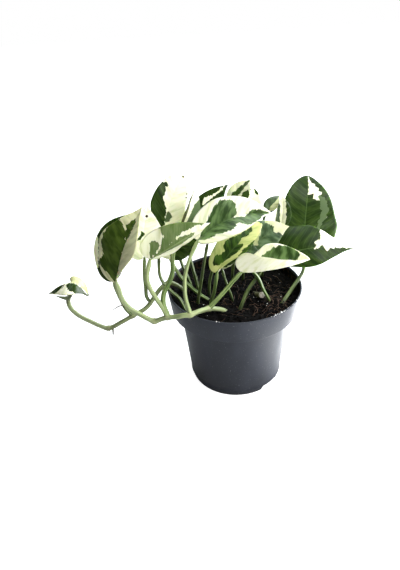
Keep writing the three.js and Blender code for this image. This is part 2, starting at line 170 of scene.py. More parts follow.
# Where a petiole runs on into the midrib, in shares of the blade's length, with its radii in
# shares of its own and how deep it lies in mm
RIB_RUN = np.linspace(0.02, 0.16, 8)
RIB_RADII = np.linspace(0.45, 0.1125, 8)
RIB_SINKING = 0.25
RIB_ROW = 4
RIB_STRETCH = 40

# Roots and dry sheaths
SPIKE_STEP = 0.8
SPIKE_SIDES = 9

# Loose things on the soil and the rim. A range is its least and most, a ball its rings and
# sides, and a rim grain its angle and size. Lumps are turned by a range of radians.
LUMP_CORNERS = (0.72, 1.18)
LUMP_STRETCH = (0.6, 1.1)
LUMP_TURNS = (0, 6.28)
CRUMBS = 1100
CRUMB_SEED = 11
CRUMB_BALL = (5, 8)
CRUMB_LEAST = 0.35
CRUMB_GROWTH = 1.1
CRUMB_LIFT = 0.2
RIM_CLEARANCE = 4.5
FIBRES = 1500
FIBRE_SEED = 12
FIBRE_CLEARANCE = 8
FIBRE_HEAP = (40, -22)
FIBRE_SPREAD = 13
FIBRE_CHANCE = 0.03
FIBRE_LENGTHS = (5, 18)
FIBRE_CURL = 0.05
FIBRE_HUMPS = (0.2, 1.6)
FIBRE_RADII = (0.06, 0.13)
FIBRE_PLACES = 9
FIBRE_SIDES = 4
FIBRE_LIFT = 0.15
FIBRE_END_DROP = 0.4
GRAIN_SEED = 13
GRAIN_BALL = (4, 7)
GRAIN_LIFT = 0.3
SOIL_GRAINS = 26
SOIL_GRAIN_SIZES = (0.25, 0.55)
SOIL_GRAIN_CLEARANCE = 6
RIM_GRAINS = [(-61, 0.7), (-59, 0.5), (-55, 0.9), (-109, 0.6), (-107, 0.4), (-33, 0.6)]
RIM_GRAIN_INSET = 0.8
RIM_DUST = 34
RIM_DUST_ANGLES = (-66, -25)
RIM_DUST_INSETS = (0.1, 1.2)
RIM_DUST_SIZES = (0.15, 0.45)
RIM_DUST_LIFT = 0.1

# How bright the surroundings are, and each light's name, its place and size in metres, its
# power and its colour
AMBIENT = 0.08
LIGHTS = [
    ("key", (0.65, -0.4, 0.95), 0.8, 17.0, (1, 1, 1)),
    ("overhead", (0.1, 0.3, 1.1), 0.7, 8.0, (0.88, 0.95, 1)),
    ("back", (0.35, 0.95, 0.62), 0.5, 6.0, (0.88, 0.95, 1)),
    ("window", (0.9, 0.5, 0.12), 0.7, 36.0, (0.88, 0.94, 1)),
]
LIT_PLACE = (-0.02, 0, 0.1)

# Camera
CAMERA_LENS = 30.253
CAMERA_DOWN = 31.8
CAMERA_ROLL = -3.46
CAMERA_PLACE = (-30.7, -365.45, 322.99)

# The floor, its lengths in metres: how white the camera sees it, and the bright patch beside
# the window
FLOOR_HALF = 4
FLOOR_DROP = 0.0002
FLOOR_WHITE = 0.97
FLOOR_GLOW = 0.03
PATCH_SIDE = (0.03, 0.08)
PATCH_BACK = (-0.03, 0.05)
PATCH_GLOW = 2.5
PATCH_BACK_GLOW = 5.4

# Colours of the leaves: dark and light green, milky green, cream and its shade, and the rib
# within the green
PLAIN_TINTS = {
    "dark": (0.012, 0.028, 0.004),
    "light": (0.032, 0.062, 0.009),
    "milky": (0.095, 0.14, 0.06),
    "cream": (0.92, 0.91, 0.71),
    "shade": (0.7, 0.73, 0.46),
    "rib": (0.09, 0.15, 0.045),
    "sheen": 0.1,
    "roughness": 0.34,
}
UNDERSIDE = {
    "dark": (0.1, 0.16, 0.04),
    "light": (0.15, 0.21, 0.07),
    "milky": (0.28, 0.33, 0.18),
    "cream": (0.87, 0.87, 0.68),
    "shade": (0.7, 0.72, 0.42),
    "rib": (0.28, 0.35, 0.15),
    "sheen": 0.2,
    "roughness": 0.5,
}

# The midrib and the side veins in the green: where their colour fades, in mm from the midrib
# and in shares of the side veins' spacing, how strong it is, and how far the side veins wobble
MIDRIB_FADE = (0.15, 0.6)
MIDRIB_STRENGTH = 0.55
VEIN_FADE = (0.1, 0.0)
VEIN_STRENGTH = 0.25
VEIN_WOBBLE = 0.5

# Leaves go by their numbers. What is different about the colours of some:
KINDS = {
    "plain": {},
    "lime": dict(cream=(0.58, 0.6, 0.24), shade=(0.36, 0.44, 0.13), light=(0.06, 0.13, 0.015)),
    # Olive greens, with a darker cream that paints shade on leaf 02
    "olive_with_shaded_cream": dict(dark=(0.03, 0.055, 0.006), light=(0.075, 0.12, 0.018), cream=(0.72, 0.7, 0.44),
                  shade=(0.52, 0.52, 0.28)),
    # Very light green blotches on leaves 10 and 17: painted sheen, besides their real gloss
    "painted_sheen": dict(dark=(0.02, 0.048, 0.007), light=(0.14, 0.235, 0.075), sheen=0.28),
    "brown": dict(dark=(0.035, 0.04, 0.012), light=(0.08, 0.085, 0.03)),
    # A dim cream for the far half of leaf 01, given through its milky patch: painted shade
    "far_half_shaded": dict(milky=(0.5, 0.51, 0.26)),
    # Cream darkened to paint the shade on leaves 11 and 14
    "cream_in_shade": dict(cream=(0.5, 0.51, 0.34), shade=(0.7, 0.71, 0.48)),
    # Light green blotches that paint sheen, and a darker cream that paints shade, on leaves 13, 19 and
    # 22
    "sheen_and_shaded_cream": dict(dark=(0.02, 0.048, 0.012), light=(0.12, 0.19, 0.09), cream=(0.62, 0.63, 0.38),
                    shade=(0.42, 0.47, 0.2), sheen=0.4),
    # Dark tan for leaf 21, a cream leaf deep in shade: painted shade
    "tan": dict(dark=(0.09, 0.085, 0.04), light=(0.15, 0.14, 0.07)),
}
LEAF_KINDS = {
    "01": "far_half_shaded", "02": "olive_with_shaded_cream", "06": "brown", "10": "painted_sheen", "11": "cream_in_shade", "13": "sheen_and_shaded_cream",
    "14": "cream_in_shade", "17": "painted_sheen", "18": "lime", "19": "sheen_and_shaded_cream", "21": "tan", "22": "sheen_and_shaded_cream",
}
CREAM_LEAVES = ("04", "17")

# How far a stem or petiole is paler than its kind, by the leaf that it carries
PALENESS = {"01": 0.2, "02": 0.3, "07": 0.25, "10": 0.2}

# Leaves with a more strongly waved margin
WAVINESS = {"16": 3, "02": 1.6}

# Brown spots: percent along the midrib, percent out from it, and their radius in mm
SPOTS = {
    "01": [(100, 0, 2)],
    "04": [(79, 5, 1.4)],
    "05": [(99, 6, 1.5), (74, 71, 0.9), (68, 76, 0.9)],
}

# The markings of each leaf: its ground, and patches with their outlines in percent along the
# midrib and out from it, negative to the left
MARBLING = {
    "01": ("cream", [
        ("green", [(94, -8), (80, 0), (56, 0), (62, -32), (78, -40)]),
        ("green", [(52, -15), (48, 0), (25, 0), (10, -8), (-10, -10), (16, -80), (35, -70), (49, -50)]),
        # This milky patch covers the far half and dims its cream: painted shade
        ("milky", [(-20, 8), (120, 8), (120, 130), (-20, 130)]),
    ]),
    "02": ("cream", [
        ("green", [(0, 3), (8, -24), (14, -72), (20, -73), (26, -57), (38, -83), (60, -78), (70, -110),
                   (79, -68), (69, -27), (63, -10), (50, 2)]),
        ("green", [(50, 2), (63, -10), (72, -16), (83, -3), (80, 10), (62, 10)]),
    ]),
    "03": ("green", [
        ("cream", [(55, -120), (53, -75), (42, -60), (15, -65), (10, -120)]),
    ]),
    "04": ("cream", [
        ("green", [(49, -10), (44, 6), (35, -16), (27, -60), (35, -30)]),
    ]),
    "05": ("cream", [
        ("green", [(74, -110), (55, -130), (30, -130), (0, -80), (5, -20), (13, 2), (33, -4), (43, -20),
                   (52, -42), (67, -42), (75, -56)]),
        ("milky", [(20, 5), (34, 7), (30, 26), (22, 20)]),
    ]),
    "06": ("cream", [
        ("green", [(-10, -5), (22, -3), (48, -45), (68, -45), (91, -9), (97, -3), (83, -40), (62, -85),
                   (42, -100), (0, -100)]),
        ("milky", [(10, 20), (46, 30), (63, 32), (80, 70), (69, 110), (10, 110)]),
    ]),
    "07": ("cream", [
        ("green", [(19, 66), (30, 55), (29, 27), (5, 2), (0, 2), (9, 30)]),
        ("green", [(46, 120), (70, 110), (90, 60), (100, 5), (78, 28), (60, 27), (30, 2), (15, 2),
                   (29, 27), (41, 57)]),
        ("green", [(2, 2), (23, 10), (53, 18), (77, 2), (68, -25), (45, -35), (20, -20)]),
    ]),
    "08": ("green", [
        ("cream", [(28, -4), (24, 70), (5, 60), (5, 25)]),
    ]),
    "09": ("green", [
        ("cream", [(43, -10), (55, -40), (66, -10), (80, -2), (95, -20), (86, 10), (50, 5)]),
    ]),
    "10": ("cream", [
        ("green", [(-5, 5), (8, -10), (16, -26), (23, -33), (34, -67), (43, -82), (54, -70), (59, -45),
                   (56, -12), (48, 10), (20, 20)]),
        ("green", [(46, 0), (64, 18), (72, -10), (84, -17), (97, 0), (91, 15), (81, 45), (69, 64),
                   (62, 60), (55, 42), (45, 40)]),
        ("green", [(0, 0), (50, 5), (49, 55), (38, 66), (24, 52), (7, 30)]),
    ]),
    "11": ("cream", [
        ("green", [(0, -70), (17, -55), (55, -30), (86, -15), (110, 0), (72, 12), (29, 4), (0, 0)]),
        ("green", [(49, 30), (62, 55), (50, 110), (0, 110), (0, 30)]),
    ]),
    "12": ("cream", [
        ("green", [(110, 0), (88, 41), (70, 50), (75, 14)]),
    ]),
    "13": ("green", [
        ("cream", [(110, 0), (64, 18), (28, 15), (4, 43), (34, 120), (85, 70)]),
    ]),
    "14": ("cream", [
        ("green", [(78, -50), (64, -40), (38, -38), (10, -22), (0, -80), (38, -92), (60, -80)]),
        ("green", [(110, 10), (92, 28), (60, 36), (20, 42), (-10, 50), (-10, 130), (110, 130)]),
    ]),
    "15": ("green", [
        ("cream", [(110, -4), (90, 5), (82, 27), (76, 42), (66, 52), (62, 22), (70, 20), (68, 2),
                   (84, 1)]),
        ("milky", [(68, 42), (66, 64), (47, 80), (30, 60), (14, 46), (20, 38), (44, 52)]),
    ]),
    "16": ("green", [
        ("cream", [(64, -100), (90, -90), (115, -5), (88, 2), (70, 8), (67, 16), (65, -5), (53, 8),
                   (57, -10), (54, -20), (62, -30)]),
    ]),
    "17": ("cream", [
        ("green", [(30, -50), (42, -68), (56, -78), (70, -76), (82, -60), (92, -25), (80, -10),
                   (40, -10)]),
    ]),
    "18": ("cream", [
        ("green", [(48, -56), (55, -45), (65, -27), (84, -14), (80, 16), (66, 12), (60, -5), (50, 10),
                   (40, -5), (30, -30), (36, -55)]),
        ("green", [(45, -10), (56, 34), (50, 50), (34, 46), (20, 12), (10, -12), (4, -30), (7, -50),
                   (17, -55), (23, -36), (30, -30)]),
        ("green", [(34, 71), (46, 68), (57, 77), (72, 76), (80, 120), (20, 120)]),
    ]),
    "19": ("green", [
        ("cream", [(68, -45), (60, -120), (110, -100), (110, 0), (85, 50), (70, 5), (74, -19)]),
        ("cream", [(54, -85), (50, -30), (30, 20), (25, 0), (32, -40)]),
    ]),
    "23": ("green", [
        ("cream", [(0, -10), (22, 50), (63, 75), (90, 50), (60, 120), (0, 100)]),
    ]),
}


# A blade from its base to its tip, in mm: how far it arches up, and for its left and right half
# the width, the slopes at the midrib and at the margin in degrees, and how far its outline is a
# wedge. It may bend aside and face another way. Full makes its tip broader, hook moves the arch
# towards the tip, and roll turns the halves along the midrib.
def blade(base, tip, arch, left, right=None, bend=0, face=USUAL_FACE, full=0, hook=0, roll=(0, 0)):
    return dict(base=base, tip=tip, length=math.dist(base, tip), arch=arch, left=left,
                right=right or left, bend=bend, face=face, full=full, hook=hook, roll=roll)


# A stem's run: its radius, the leaf that it carries, and the places that it passes through
def run(radius, leaf, *through):
    return radius, leaf, through


# A petiole that rises from the soil on its own
def petiole(leaf, radius, *through, look="stem_green"):
    return "petiole_" + leaf, dict(look=look, runs=[run(radius, leaf, *through)])


LEAVES = {
    # Small last leaf of the long vine
    "01": blade((-130, -9, 99), (-162, -14, 105), 19, (13, 5, -10, 0.7), (14.5, -65, -70, 0.55),
                face=(0.1, -0.45, 0.85), hook=-0.3, roll=(0, -195)),
    # Large leaf at the left, and the one behind it
    "02": blade((-98, -35, 125), (-71, -15, 181), 6, (28.5, 5, -25, 0.3), (20, 40, 15, 1),
                bend=-0.5, face=(-0.45, -0.85, 0.3), full=-0.4),
    "03": blade((-104, -15, 115), (-84, 3, 168), 5, (23, 5, -20, 0.3), (22, 10, 10, 0.5), bend=-6,
                face=(-0.5, -0.8, 0.3)),
    # Cream leaf behind the large left one
    "04": blade((-77, 0, 128), (-71, 20, 167), 4, (16, 10, 0, 0), (18, 10, 0, 0), bend=-2,
                face=(0.1, -0.85, 0.4)),
    # Upright leaf, half green and half cream
    "05": blade((-61, 17, 142), (-40, 40, 185), 4, (17.5, 20, 0, 0.5), (15, 15, 0, 0), bend=-2.5,
                face=(0.1, -0.9, 0.3), full=1.1),
    # Leaf seen edge on
    "06": blade((-46, 5, 148), (-30, 20, 182), 3, (11, 40, 20, 0.4), face=(0.75, -0.6, 0.3)),
    # Front left leaf, seen from below
    "07": blade((-69, -30, 142), (-20, -34, 172), -4, (21, 32, 45, 0), (19, 10, 20, 0), bend=3,
                face=(-0.3, 0.93, 0.1)),
    # Shaded leaves under it
    "08": blade((-64, -6, 132), (-30, 4, 137), 3, (11, 8, -8, 0), (11, 8, -8, 0.7),
                face=(0.1, -0.85, 0.5)),
    "20": blade((-50, -14, 145), (-26, 0, 151), 3, (11, 8, -8, 0), (10, 8, -8, 0.5),
                face=(0, -0.85, 0.5)),
    # Dark leaf behind the centre
    "09": blade((-38, 15, 148), (-1, 27, 179), 4, (9, 15, 0, 0), (16, 15, 0, 0), bend=-2,
                face=(-0.3, -0.8, 0.5)),
    # Large central leaf
    "10": blade((-30, -25.5, 154), (30, -15, 168), 6, (20, 29, 20, 0.2), (21.5, 27, 0, 0.3),
                bend=-5, face=(0, -0.49, 0.87)),
    # Leaf in the shade under it
    "21": blade((-22, -7, 142), (-26, 9, 155), 2, (9, 8, -8, 0), face=(-0.1, -0.8, 0.5)),
    # Leaves at the top of the crown
    "11": blade((3, 30, 160), (19, 40, 177), 3, (10, 20, 0, 0), face=(-0.4, -0.8, 0.4)),
    "24": blade((14, 42, 153), (18, 50, 169), 2, (9, 10, 0, 0), (8, 10, 0, 0)),
    "12": blade((18, 34, 150), (23, 45, 168), 3, (7, 20, 0, 0), (9, 20, 0, 0)),
    "13": blade((31, 22, 156), (43, 27, 166), 2, (6, 20, 0, 0)),
    "14": blade((43, 15, 144), (45, 24, 167), 2, (9, 20, 30, 0), (8, 20, 0, 0),
                face=(0.2, -0.8, 0.3)),
    # Large upright leaf at the right
    "15": blade((67, 22, 120), (74, 56, 172), 9, (23, 8, -5, 0.3), (26, 8, -5, -0.5), bend=-3,
                face=(0.05, -0.95, 0.25), full=0.8, hook=0.6),
    # Leaf pointing right
    "16": blade((28, -2, 117), (104, -5, 126), 11, (25, 15, -10, 0), (19, -10, -30, 0.7), bend=-1,
                face=(0, -0.5, 0.85), full=-0.6, roll=(-50, 0)),
    # Folded leaf at the front right
    "17": blade((4, -25, 122), (59, -30, 133), -3, (23, 58, 60, 0.6), (19, 60, 60, -0.5),
                face=(0, -0.05, 1), full=0.7, roll=(0, -40)),
    "22": blade((11, -17, 122), (14, -13, 140), 3, (10, 0, -10, 0), face=(-0.1, -0.7, 0.7),
                full=1),
    "23": blade((-11, -6, 116), (4, -11, 129), 2, (8, 10, 0, 0.4), (4, -20, -70, 0.4),
                face=(0, -0.5, 0.8)),
    # Lime leaf in the centre
    "18": blade((-16, -25, 123), (23.5, 3, 152), 6, (17, 0, -20, 0.1), (13, 30, 5, 0.9), bend=-1,
                face=(-0.3, -0.7, 0.65), full=1),
    # Leaf between the centre and the right
    "19": blade((9, -4, 125), (48, 4, 147), 5, (18, 10, -10, 0), (16, 5, -10, 0), bend=-3,
                face=(-0.2, -0.6, 0.75)),
}
STEMS = {
    "vine_left": dict(
        look="stem_green",
        nodes=[(-93, -11, 75), (-116, -14, 65)],
        runs=[
            run(1.8, "01", (-44, 9, 81), (-49, 8, 90), (-59, 4, 98.5), (-65, 1, 96),
                (-70, -2, 91.5), (-80, -8, 81), (-93, -11, 75), (-102, -13, 71), (-116, -14, 65),
                (-123, -15, 69), (-130, -15, 74), (-139, -16, 82), (-145, -16, 91), (-146, -14, 98),
                (-143, -10, 102.5), (-136, -8, 104)),
            run(1.2, "03", (-93, -11, 75), (-98, -12, 83), (-101, -13, 94), (-103, -14, 104)),
            run(1.3, "04", (-70, -2, 91.5), (-76, -6, 86), (-79, -6, 91), (-79, -5, 100),
                (-79, -2, 111)),
        ],
    ),
    "vine_front": dict(
        look="stem_light",
        nodes=[(-25, -39, 97), (-40, -48, 98.5), (-59, -42, 93), (-71, -38, 87)],
        runs=[
            run(1.9, "02", (-8, -26, 83), (-14, -30, 89), (-21, -35, 94), (-25, -39, 97),
                (-33, -45, 99), (-40, -48, 98.5), (-46, -48, 98), (-52, -45, 95), (-59, -42, 93),
                (-65, -40, 90), (-71, -38, 87), (-76, -38, 90), (-82, -37, 94), (-90, -36, 100),
                (-95, -36, 109)),
            run(1.5, "07", (-59, -42, 93), (-63, -40, 102), (-68, -38, 111), (-72, -35, 119),
                (-73, -33, 126)),
            run(1.7, "20", (-59, -42, 93), (-62, -37, 104), (-61, -33, 111), (-57, -28, 117),
                (-53, -22, 124), (-52, -17, 134)),
            run(1.3, "10", (-40, -48, 98.5), (-43, -44, 113), (-43, -41, 122), (-42, -38, 130),
                (-38, -34, 141)),
            run(1.5, "17", (-25, -39, 97), (-13, -33, 107), (-3, -28, 116)),
        ],
    ),
    **dict([
        petiole("05", 1.3, (-19, -12, 80), (-24, -10, 86), (-31, -7, 90), (-38, -3, 95), (-46, 2, 102),
                (-52, 7, 111), (-58, 12, 126), look="stem_light"),
        petiole("06", 1.2, (-36, 6, 80), (-40, 8, 95), (-47, 9, 120)),
        petiole("08", 1.2, (-39, -26, 80), (-44, -24, 86), (-49, -19, 95), (-56, -14, 100),
                (-62, -10, 106), (-65, -7, 113)),
        petiole("09", 1.2, (-29, -3, 80), (-31, -2, 86), (-34, 3, 100), (-38, 9, 120)),
        petiole("21", 1.2, (-34, -17, 80), (-33, -16, 91), (-30, -13, 105), (-27, -10, 120)),
        petiole("11", 1.2, (-23, -2, 80), (-22, 4, 95), (-18, 10, 108), (-9, 20, 132)),
        petiole("24", 1.2, (0, 24, 80), (2, 28, 100), (8, 37, 130)),
        petiole("12", 1.2, (10, 20, 80), (11, 24, 100), (15, 30, 130)),
        petiole("13", 1.1, (22, 28, 80), (23, 29, 100), (27, 27, 130)),
        petiole("14", 1.1, (28, 24, 80), (31, 26, 100), (38, 24, 125)),
        petiole("15", 1.4, (36, -26, 82), (40, -22, 87), (50, -10, 93), (58, 0, 97), (64, 9, 101)),
        petiole("16", 1.5, (0, -28, 80), (3, -26, 87), (11, -16, 99), (18, -10, 105)),
        petiole("22", 1.2, (31, -20, 80), (29, -18, 87), (24, -15, 97), (20, -12, 107),
                look="stem_light"),
        petiole("19", 1.3, (28, 5, 80), (25, 4, 90), (19, 0, 103), (13, -3, 114)),
        petiole("23", 1, (-2, -15, 80), (-3, -13, 88), (-8, -9, 104)),
        petiole("18", 1.4, (-23, -21, 80), (-22, -22, 91), (-19, -23, 103), look="stem_light"),
    ]),
    "cut_stem": dict(
        look="cut_stem",
        runs=[run(2.7, None, (16, 4, 81), (20.5, -7, 86.5), (23.5, -15, 91.5))],
    ),
}


# A curve between two points with a given velocity at each
def cubic(p1, p2, v1, v2, w):
    return ((2 * p1 - 2 * p2 + v1 + v2) * w ** 3 + (-3 * p1 + 3 * p2 - 2 * v1 - v2) * w ** 2
            + v1 * w + p1)


# A smooth curve through points, as in the solids: at shares of its number of points
def spline(points, t):
    p = np.array(points, float)
    last = len(p) - 1
    x = np.asarray(t, float) * last
    i = np.clip(np.floor(x).astype(int), 0, last)
    p0, p1, p2, p3 = (p[np.clip(i + k, 0, last)] for k in (-1, 0, 1, 2))
    return cubic(p1, p2, (p2 - p0) / 2, (p3 - p1) / 2, (x - i)[..., None])


def unit(v):
    return v / np.maximum(np.linalg.norm(v, axis=-1, keepdims=True), TINY)


def smooth(low, high, x):
    k = np.clip((x - low) / (high - low), 0, 1)
    return k * k * (3 - 2 * k)


# One at nought, and falling away to both sides
def bell(x, width):
    return np.exp(-(x / width) ** 2)


def on_circle(radius, angle):
    return radius * math.cos(angle), radius * math.sin(angle)


# The middle surface of a blade: points for shares along the midrib and signed shares of the
# half width, and the half width there
def blade_surface(leaf, s, out):
    base = np.array(leaf["base"], float)
    span = np.array(leaf["tip"], float) - base
    along = unit(span)
    up = np.array(leaf["face"], float)
    up = unit(up - along * (up @ along))
    aside = np.cross(along, up)
    hook = leaf["hook"]
    roll = np.array(leaf["roll"], float)

    def midrib(s):
        bow = 4 * s * (1 - s)
        lift = leaf["arch"] * bow * (1 + hook * (2 * s - 1))
        return (base + s[..., None] * span + lift[..., None] * up
                + (leaf["bend"] * bow)[..., None] * aside)

    tangent = unit(midrib(s + MIDRIB_STEP) - midrib(s - MIDRIB_STEP))
    normal = unit(up - tangent * (tangent @ up)[..., None])
    across = np.cross(tangent, normal)
    side = (out >= 0).astype(int)
    halves = np.array([leaf["left"], leaf["right"]], float)
    width = halves[side, 0]
    first = np.radians(halves[side, 1] + roll[side] * (s - 0.5))
    turn = np.radians(halves[side, 2] - halves[side, 1]) * np.abs(out)
    turn = np.where(np.abs(turn) < LEAST_TURN, LEAST_TURN, turn)
    chord = np.abs(out) * width * 2 * np.sin(turn / 2) / turn
    reach = chord * np.cos(first + turn / 2) * np.sign(out)
    lift = chord * np.sin(first + turn / 2)
    points = midrib(s) + reach[..., None] * across + lift[..., None] * normal
    return points, width


# The grid of shares along the midrib and out from it that covers a blade
def blade_grid(leaf):
    t = np.linspace(0, 1, BLADE_ROWS + 1)
    full, narrow = spline(BLADE_OUTLINE, t), spline(WEDGE_OUTLINE, t)
    margins = []
    for half in (leaf["left"], leaf["right"]):
        along, out = (full + (narrow - full) * half[3]).T
        past_fullest = smooth(FULLEST - FULLEST_SPREAD, FULLEST + FULLEST_SPREAD, along)
        margins.append([along, np.maximum(out, 0) ** (1 - past_fullest * leaf["full"] / 2)])
    left, right = np.array(margins)[..., None]
    c = np.linspace(-1, 1, 2 * BLADE_COLUMNS + 1)
    share = np.sign(c) * np.abs(c) ** COLUMN_CROWDING
    edge, reach = np.where(share < 0, left, right)
    rib = t[:, None] ** VEIN_SWEEP
    s = rib + (edge - rib) * np.abs(share)
    return s, share * reach, np.broadcast_to(share, s.shape)


def grid_normals(points):
    normals = np.cross(np.gradient(points, axis=1), np.gradient(points, axis=0))
    normals[0] = normals[1]
    normals[-1] = normals[-2]
    return unit(normals)


# Signed distance from a closed outline, in the outline's own units: positive inside
def inside_distance(outline, x, y):
    p = np.array(outline, float)
    nearest = np.full(x.shape, np.inf)
    inside = np.zeros(x.shape, bool)
    for (x0, y0), (x1, y1) in zip(p, np.roll(p, -1, axis=0)):
        dx, dy = x1 - x0, y1 - y0
        k = np.clip(((x - x0) * dx + (y - y0) * dy) / (dx * dx + dy * dy + TINY), 0, 1)
        nearest = np.minimum(nearest, np.hypot(x - x0 - k * dx, y - y0 - k * dy))
        crosses = (y0 > y) != (y1 > y)
        at = x0 + (y - y0) * dx / (dy if dy else TINY)
        inside ^= crosses & (x < at)
    return np.where(inside, nearest, -nearest)


# Smooth noise on a plane, from -1 to 1
def rough(x, y, seed):
    table = np.random.default_rng(seed).uniform(-1, 1, (NOISE_CELLS, NOISE_CELLS))
    i, j = np.floor(x).astype(int), np.floor(y).astype(int)
    u, v = smooth(0, 1, x - i), smooth(0, 1, y - j)

    def cell(across, up):
        return table[(i + across) % NOISE_CELLS, (j + up) % NOISE_CELLS]

    low = cell(0, 0) * (1 - u) + cell(1, 0) * u
    high = cell(0, 1) * (1 - u) + cell(1, 1) * u
    return low * (1 - v) + high * v


# A smooth line through places, as in the solids, at even steps
def smooth_path(places, step):
    p = np.array(places, float)
    p = np.vstack([2 * p[0] - p[1], p, 2 * p[-1] - p[-2]])
    w = np.linspace(0, 1, PATH_STEPS, endpoint=False)[:, None]
    pieces = []
    for a, b, c, d in zip(p, p[1:], p[2:], p[3:]):
        ta, tb, tc = (max(np.linalg.norm(v) ** 0.5, TINY) for v in (b - a, c - b, d - c))
        leave = ((b - a) / ta - (c - a) / (ta + tb) + (c - b) / tb) * tb
        arrive = ((c - b) / tb - (d - b) / (tb + tc) + (d - c) / tc) * tb
        pieces.append(cubic(b, c, leave, arrive, w))
    line = np.vstack(pieces + [p[-2:-1]])
    far = np.concatenate([[0], np.cumsum(np.linalg.norm(np.diff(line, axis=0), axis=1))])
    even = np.linspace(0, far[-1], max(LEAST_STEPS, round(far[-1] / step)) + 1)
    return np.stack([np.interp(even, far, line[:, k]) for k in range(3)], axis=1), even


# Directions across a path that turn as little as possible along it
def path_frames(path):
    tangents = unit(np.gradient(path, axis=0))
    side = unit(np.cross(tangents[0], SIDE_HINT))
    sides = []
    for tangent in tangents:
        side = unit(side - tangent * (side @ tangent))
        sides.append(side)
    sides = np.array(sides)
    return sides, np.cross(tangents, sides)


# Quads between the rings of a grid of point numbers; repeated numbers make triangles
def grid_faces(index, closed=False, flipped=False):
    across = np.roll(index, -1, axis=1) if closed else index[:, 1:]
    here = index if closed else index[:, :-1]
    quads = np.stack([here[:-1], across[:-1], across[1:], here[1:]], axis=-1).reshape(-1, 4)
    if flipped:
        quads = quads[:, ::-1]
    corners = (list(dict.fromkeys(quad)) for quad in quads.tolist())
    return [face for face in corners if len(face) > 2]


# An object from points in mm
def add_object(name, points, faces):
    mesh = bpy.data.meshes.new(name)
    mesh.from_pydata((np.asarray(points) * MM).tolist(), [], faces)
    return add_to_scene(bpy.data.objects.new(name, mesh))


def add_to_scene(thing):
    bpy.context.scene.collection.objects.link(thing)
    return thing


def add_piece(name, points, faces, look, slot, node=None):
    piece = add_object(name, points, faces)
    piece.data.materials.append(look)
    piece.data.shade_smooth()
    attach(piece, "root")
    if node:
        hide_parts(node)
    return piece


def joined(parts):
    points, faces, start = [], [], 0
    for part_points, part_faces in parts:
        points.append(part_points)
        faces += [[start + corner for corner in face] for face in part_faces]
        start += len(part_points)
    return np.vstack(points), faces


def add_joined(name, parts, look, slot):
    return add_piece(name, *joined(parts), look, slot)


def add_values(piece, name, values):
    values = np.asarray(values, float)
    kind, field = ("FLOAT", "value") if values.ndim == 1 else ("FLOAT_VECTOR", "vector")
    piece.data.attributes.new(name, kind, "POINT").data.foreach_set(field, values.ravel())


# How far inside its patches of one kind each place on a blade lies, in mm on a large blade
def patch_distance(leaf, ground, patches, s, out, kind):
    length = leaf["length"]
    sizes = (leaf["left"][0], leaf["right"][0])
    size = min(1, sum(sizes) / LARGE_WIDTH)
    depth = np.full(s.shape, DEEP if ground == kind else -DEEP)
    for paint, outline in patches:
        places = [(x * length / 100, y * sizes[y >= 0] / 100) for x, y in outline]
        inside = inside_distance(places, s * length, out * np.where(out < 0, *sizes))
        depth = np.maximum(depth, inside) if paint == kind else np.minimum(depth, -inside)
    return depth / size


# How far the two faces of a blade stand from its middle surface: quilted between the side
# veins, waved at the margin, with a groove above the midrib and a ridge below it
def blade_relief(key, seed, s, out, share, vein, width):
    phase = np.random.default_rng(seed).uniform(0, FULL_TURN, 4)

    def waves(broad, fine):
        return np.sin(BROAD_WAVES * s + broad) + FINE_WAVE_SHARE * np.sin(FINE_WAVES * s + fine)

    swell = rough(vein * VEINS + NOISE_START,
                  np.sign(out) * (1 + PILLOW_STRETCH * np.abs(out)) + NOISE_START, seed)
    pillow = swell * PILLOW_RISE * np.abs(share) * (1 - PILLOW_FALL * np.abs(share))
    ripple = np.where(out < 0, waves(*phase[:2]), waves(*phase[2:]))
    wave = MARGIN_WAVE * WAVINESS.get(key, 1)
    size = np.minimum(width / LARGE_HALF_WIDTH, 1)
    rise = size * (QUILTING * pillow + wave * ripple * np.abs(out) ** 2 * share ** 2)
    t = np.linspace(-1, 1, BLADE_ROWS + 1)[:, None]
    fade = 1 - t ** TIP_SHARPNESS
    half = HALF_THICKNESS * np.sqrt((1 - share ** MARGIN_SHARPNESS) * fade)
    rib = size * bell(width * out, RIB_WIDTH) * np.clip(1 - s, 0, 1) ** RIB_TAPER * fade
    return rise + half - GROOVE * rib, rise - half - RIDGE * rib


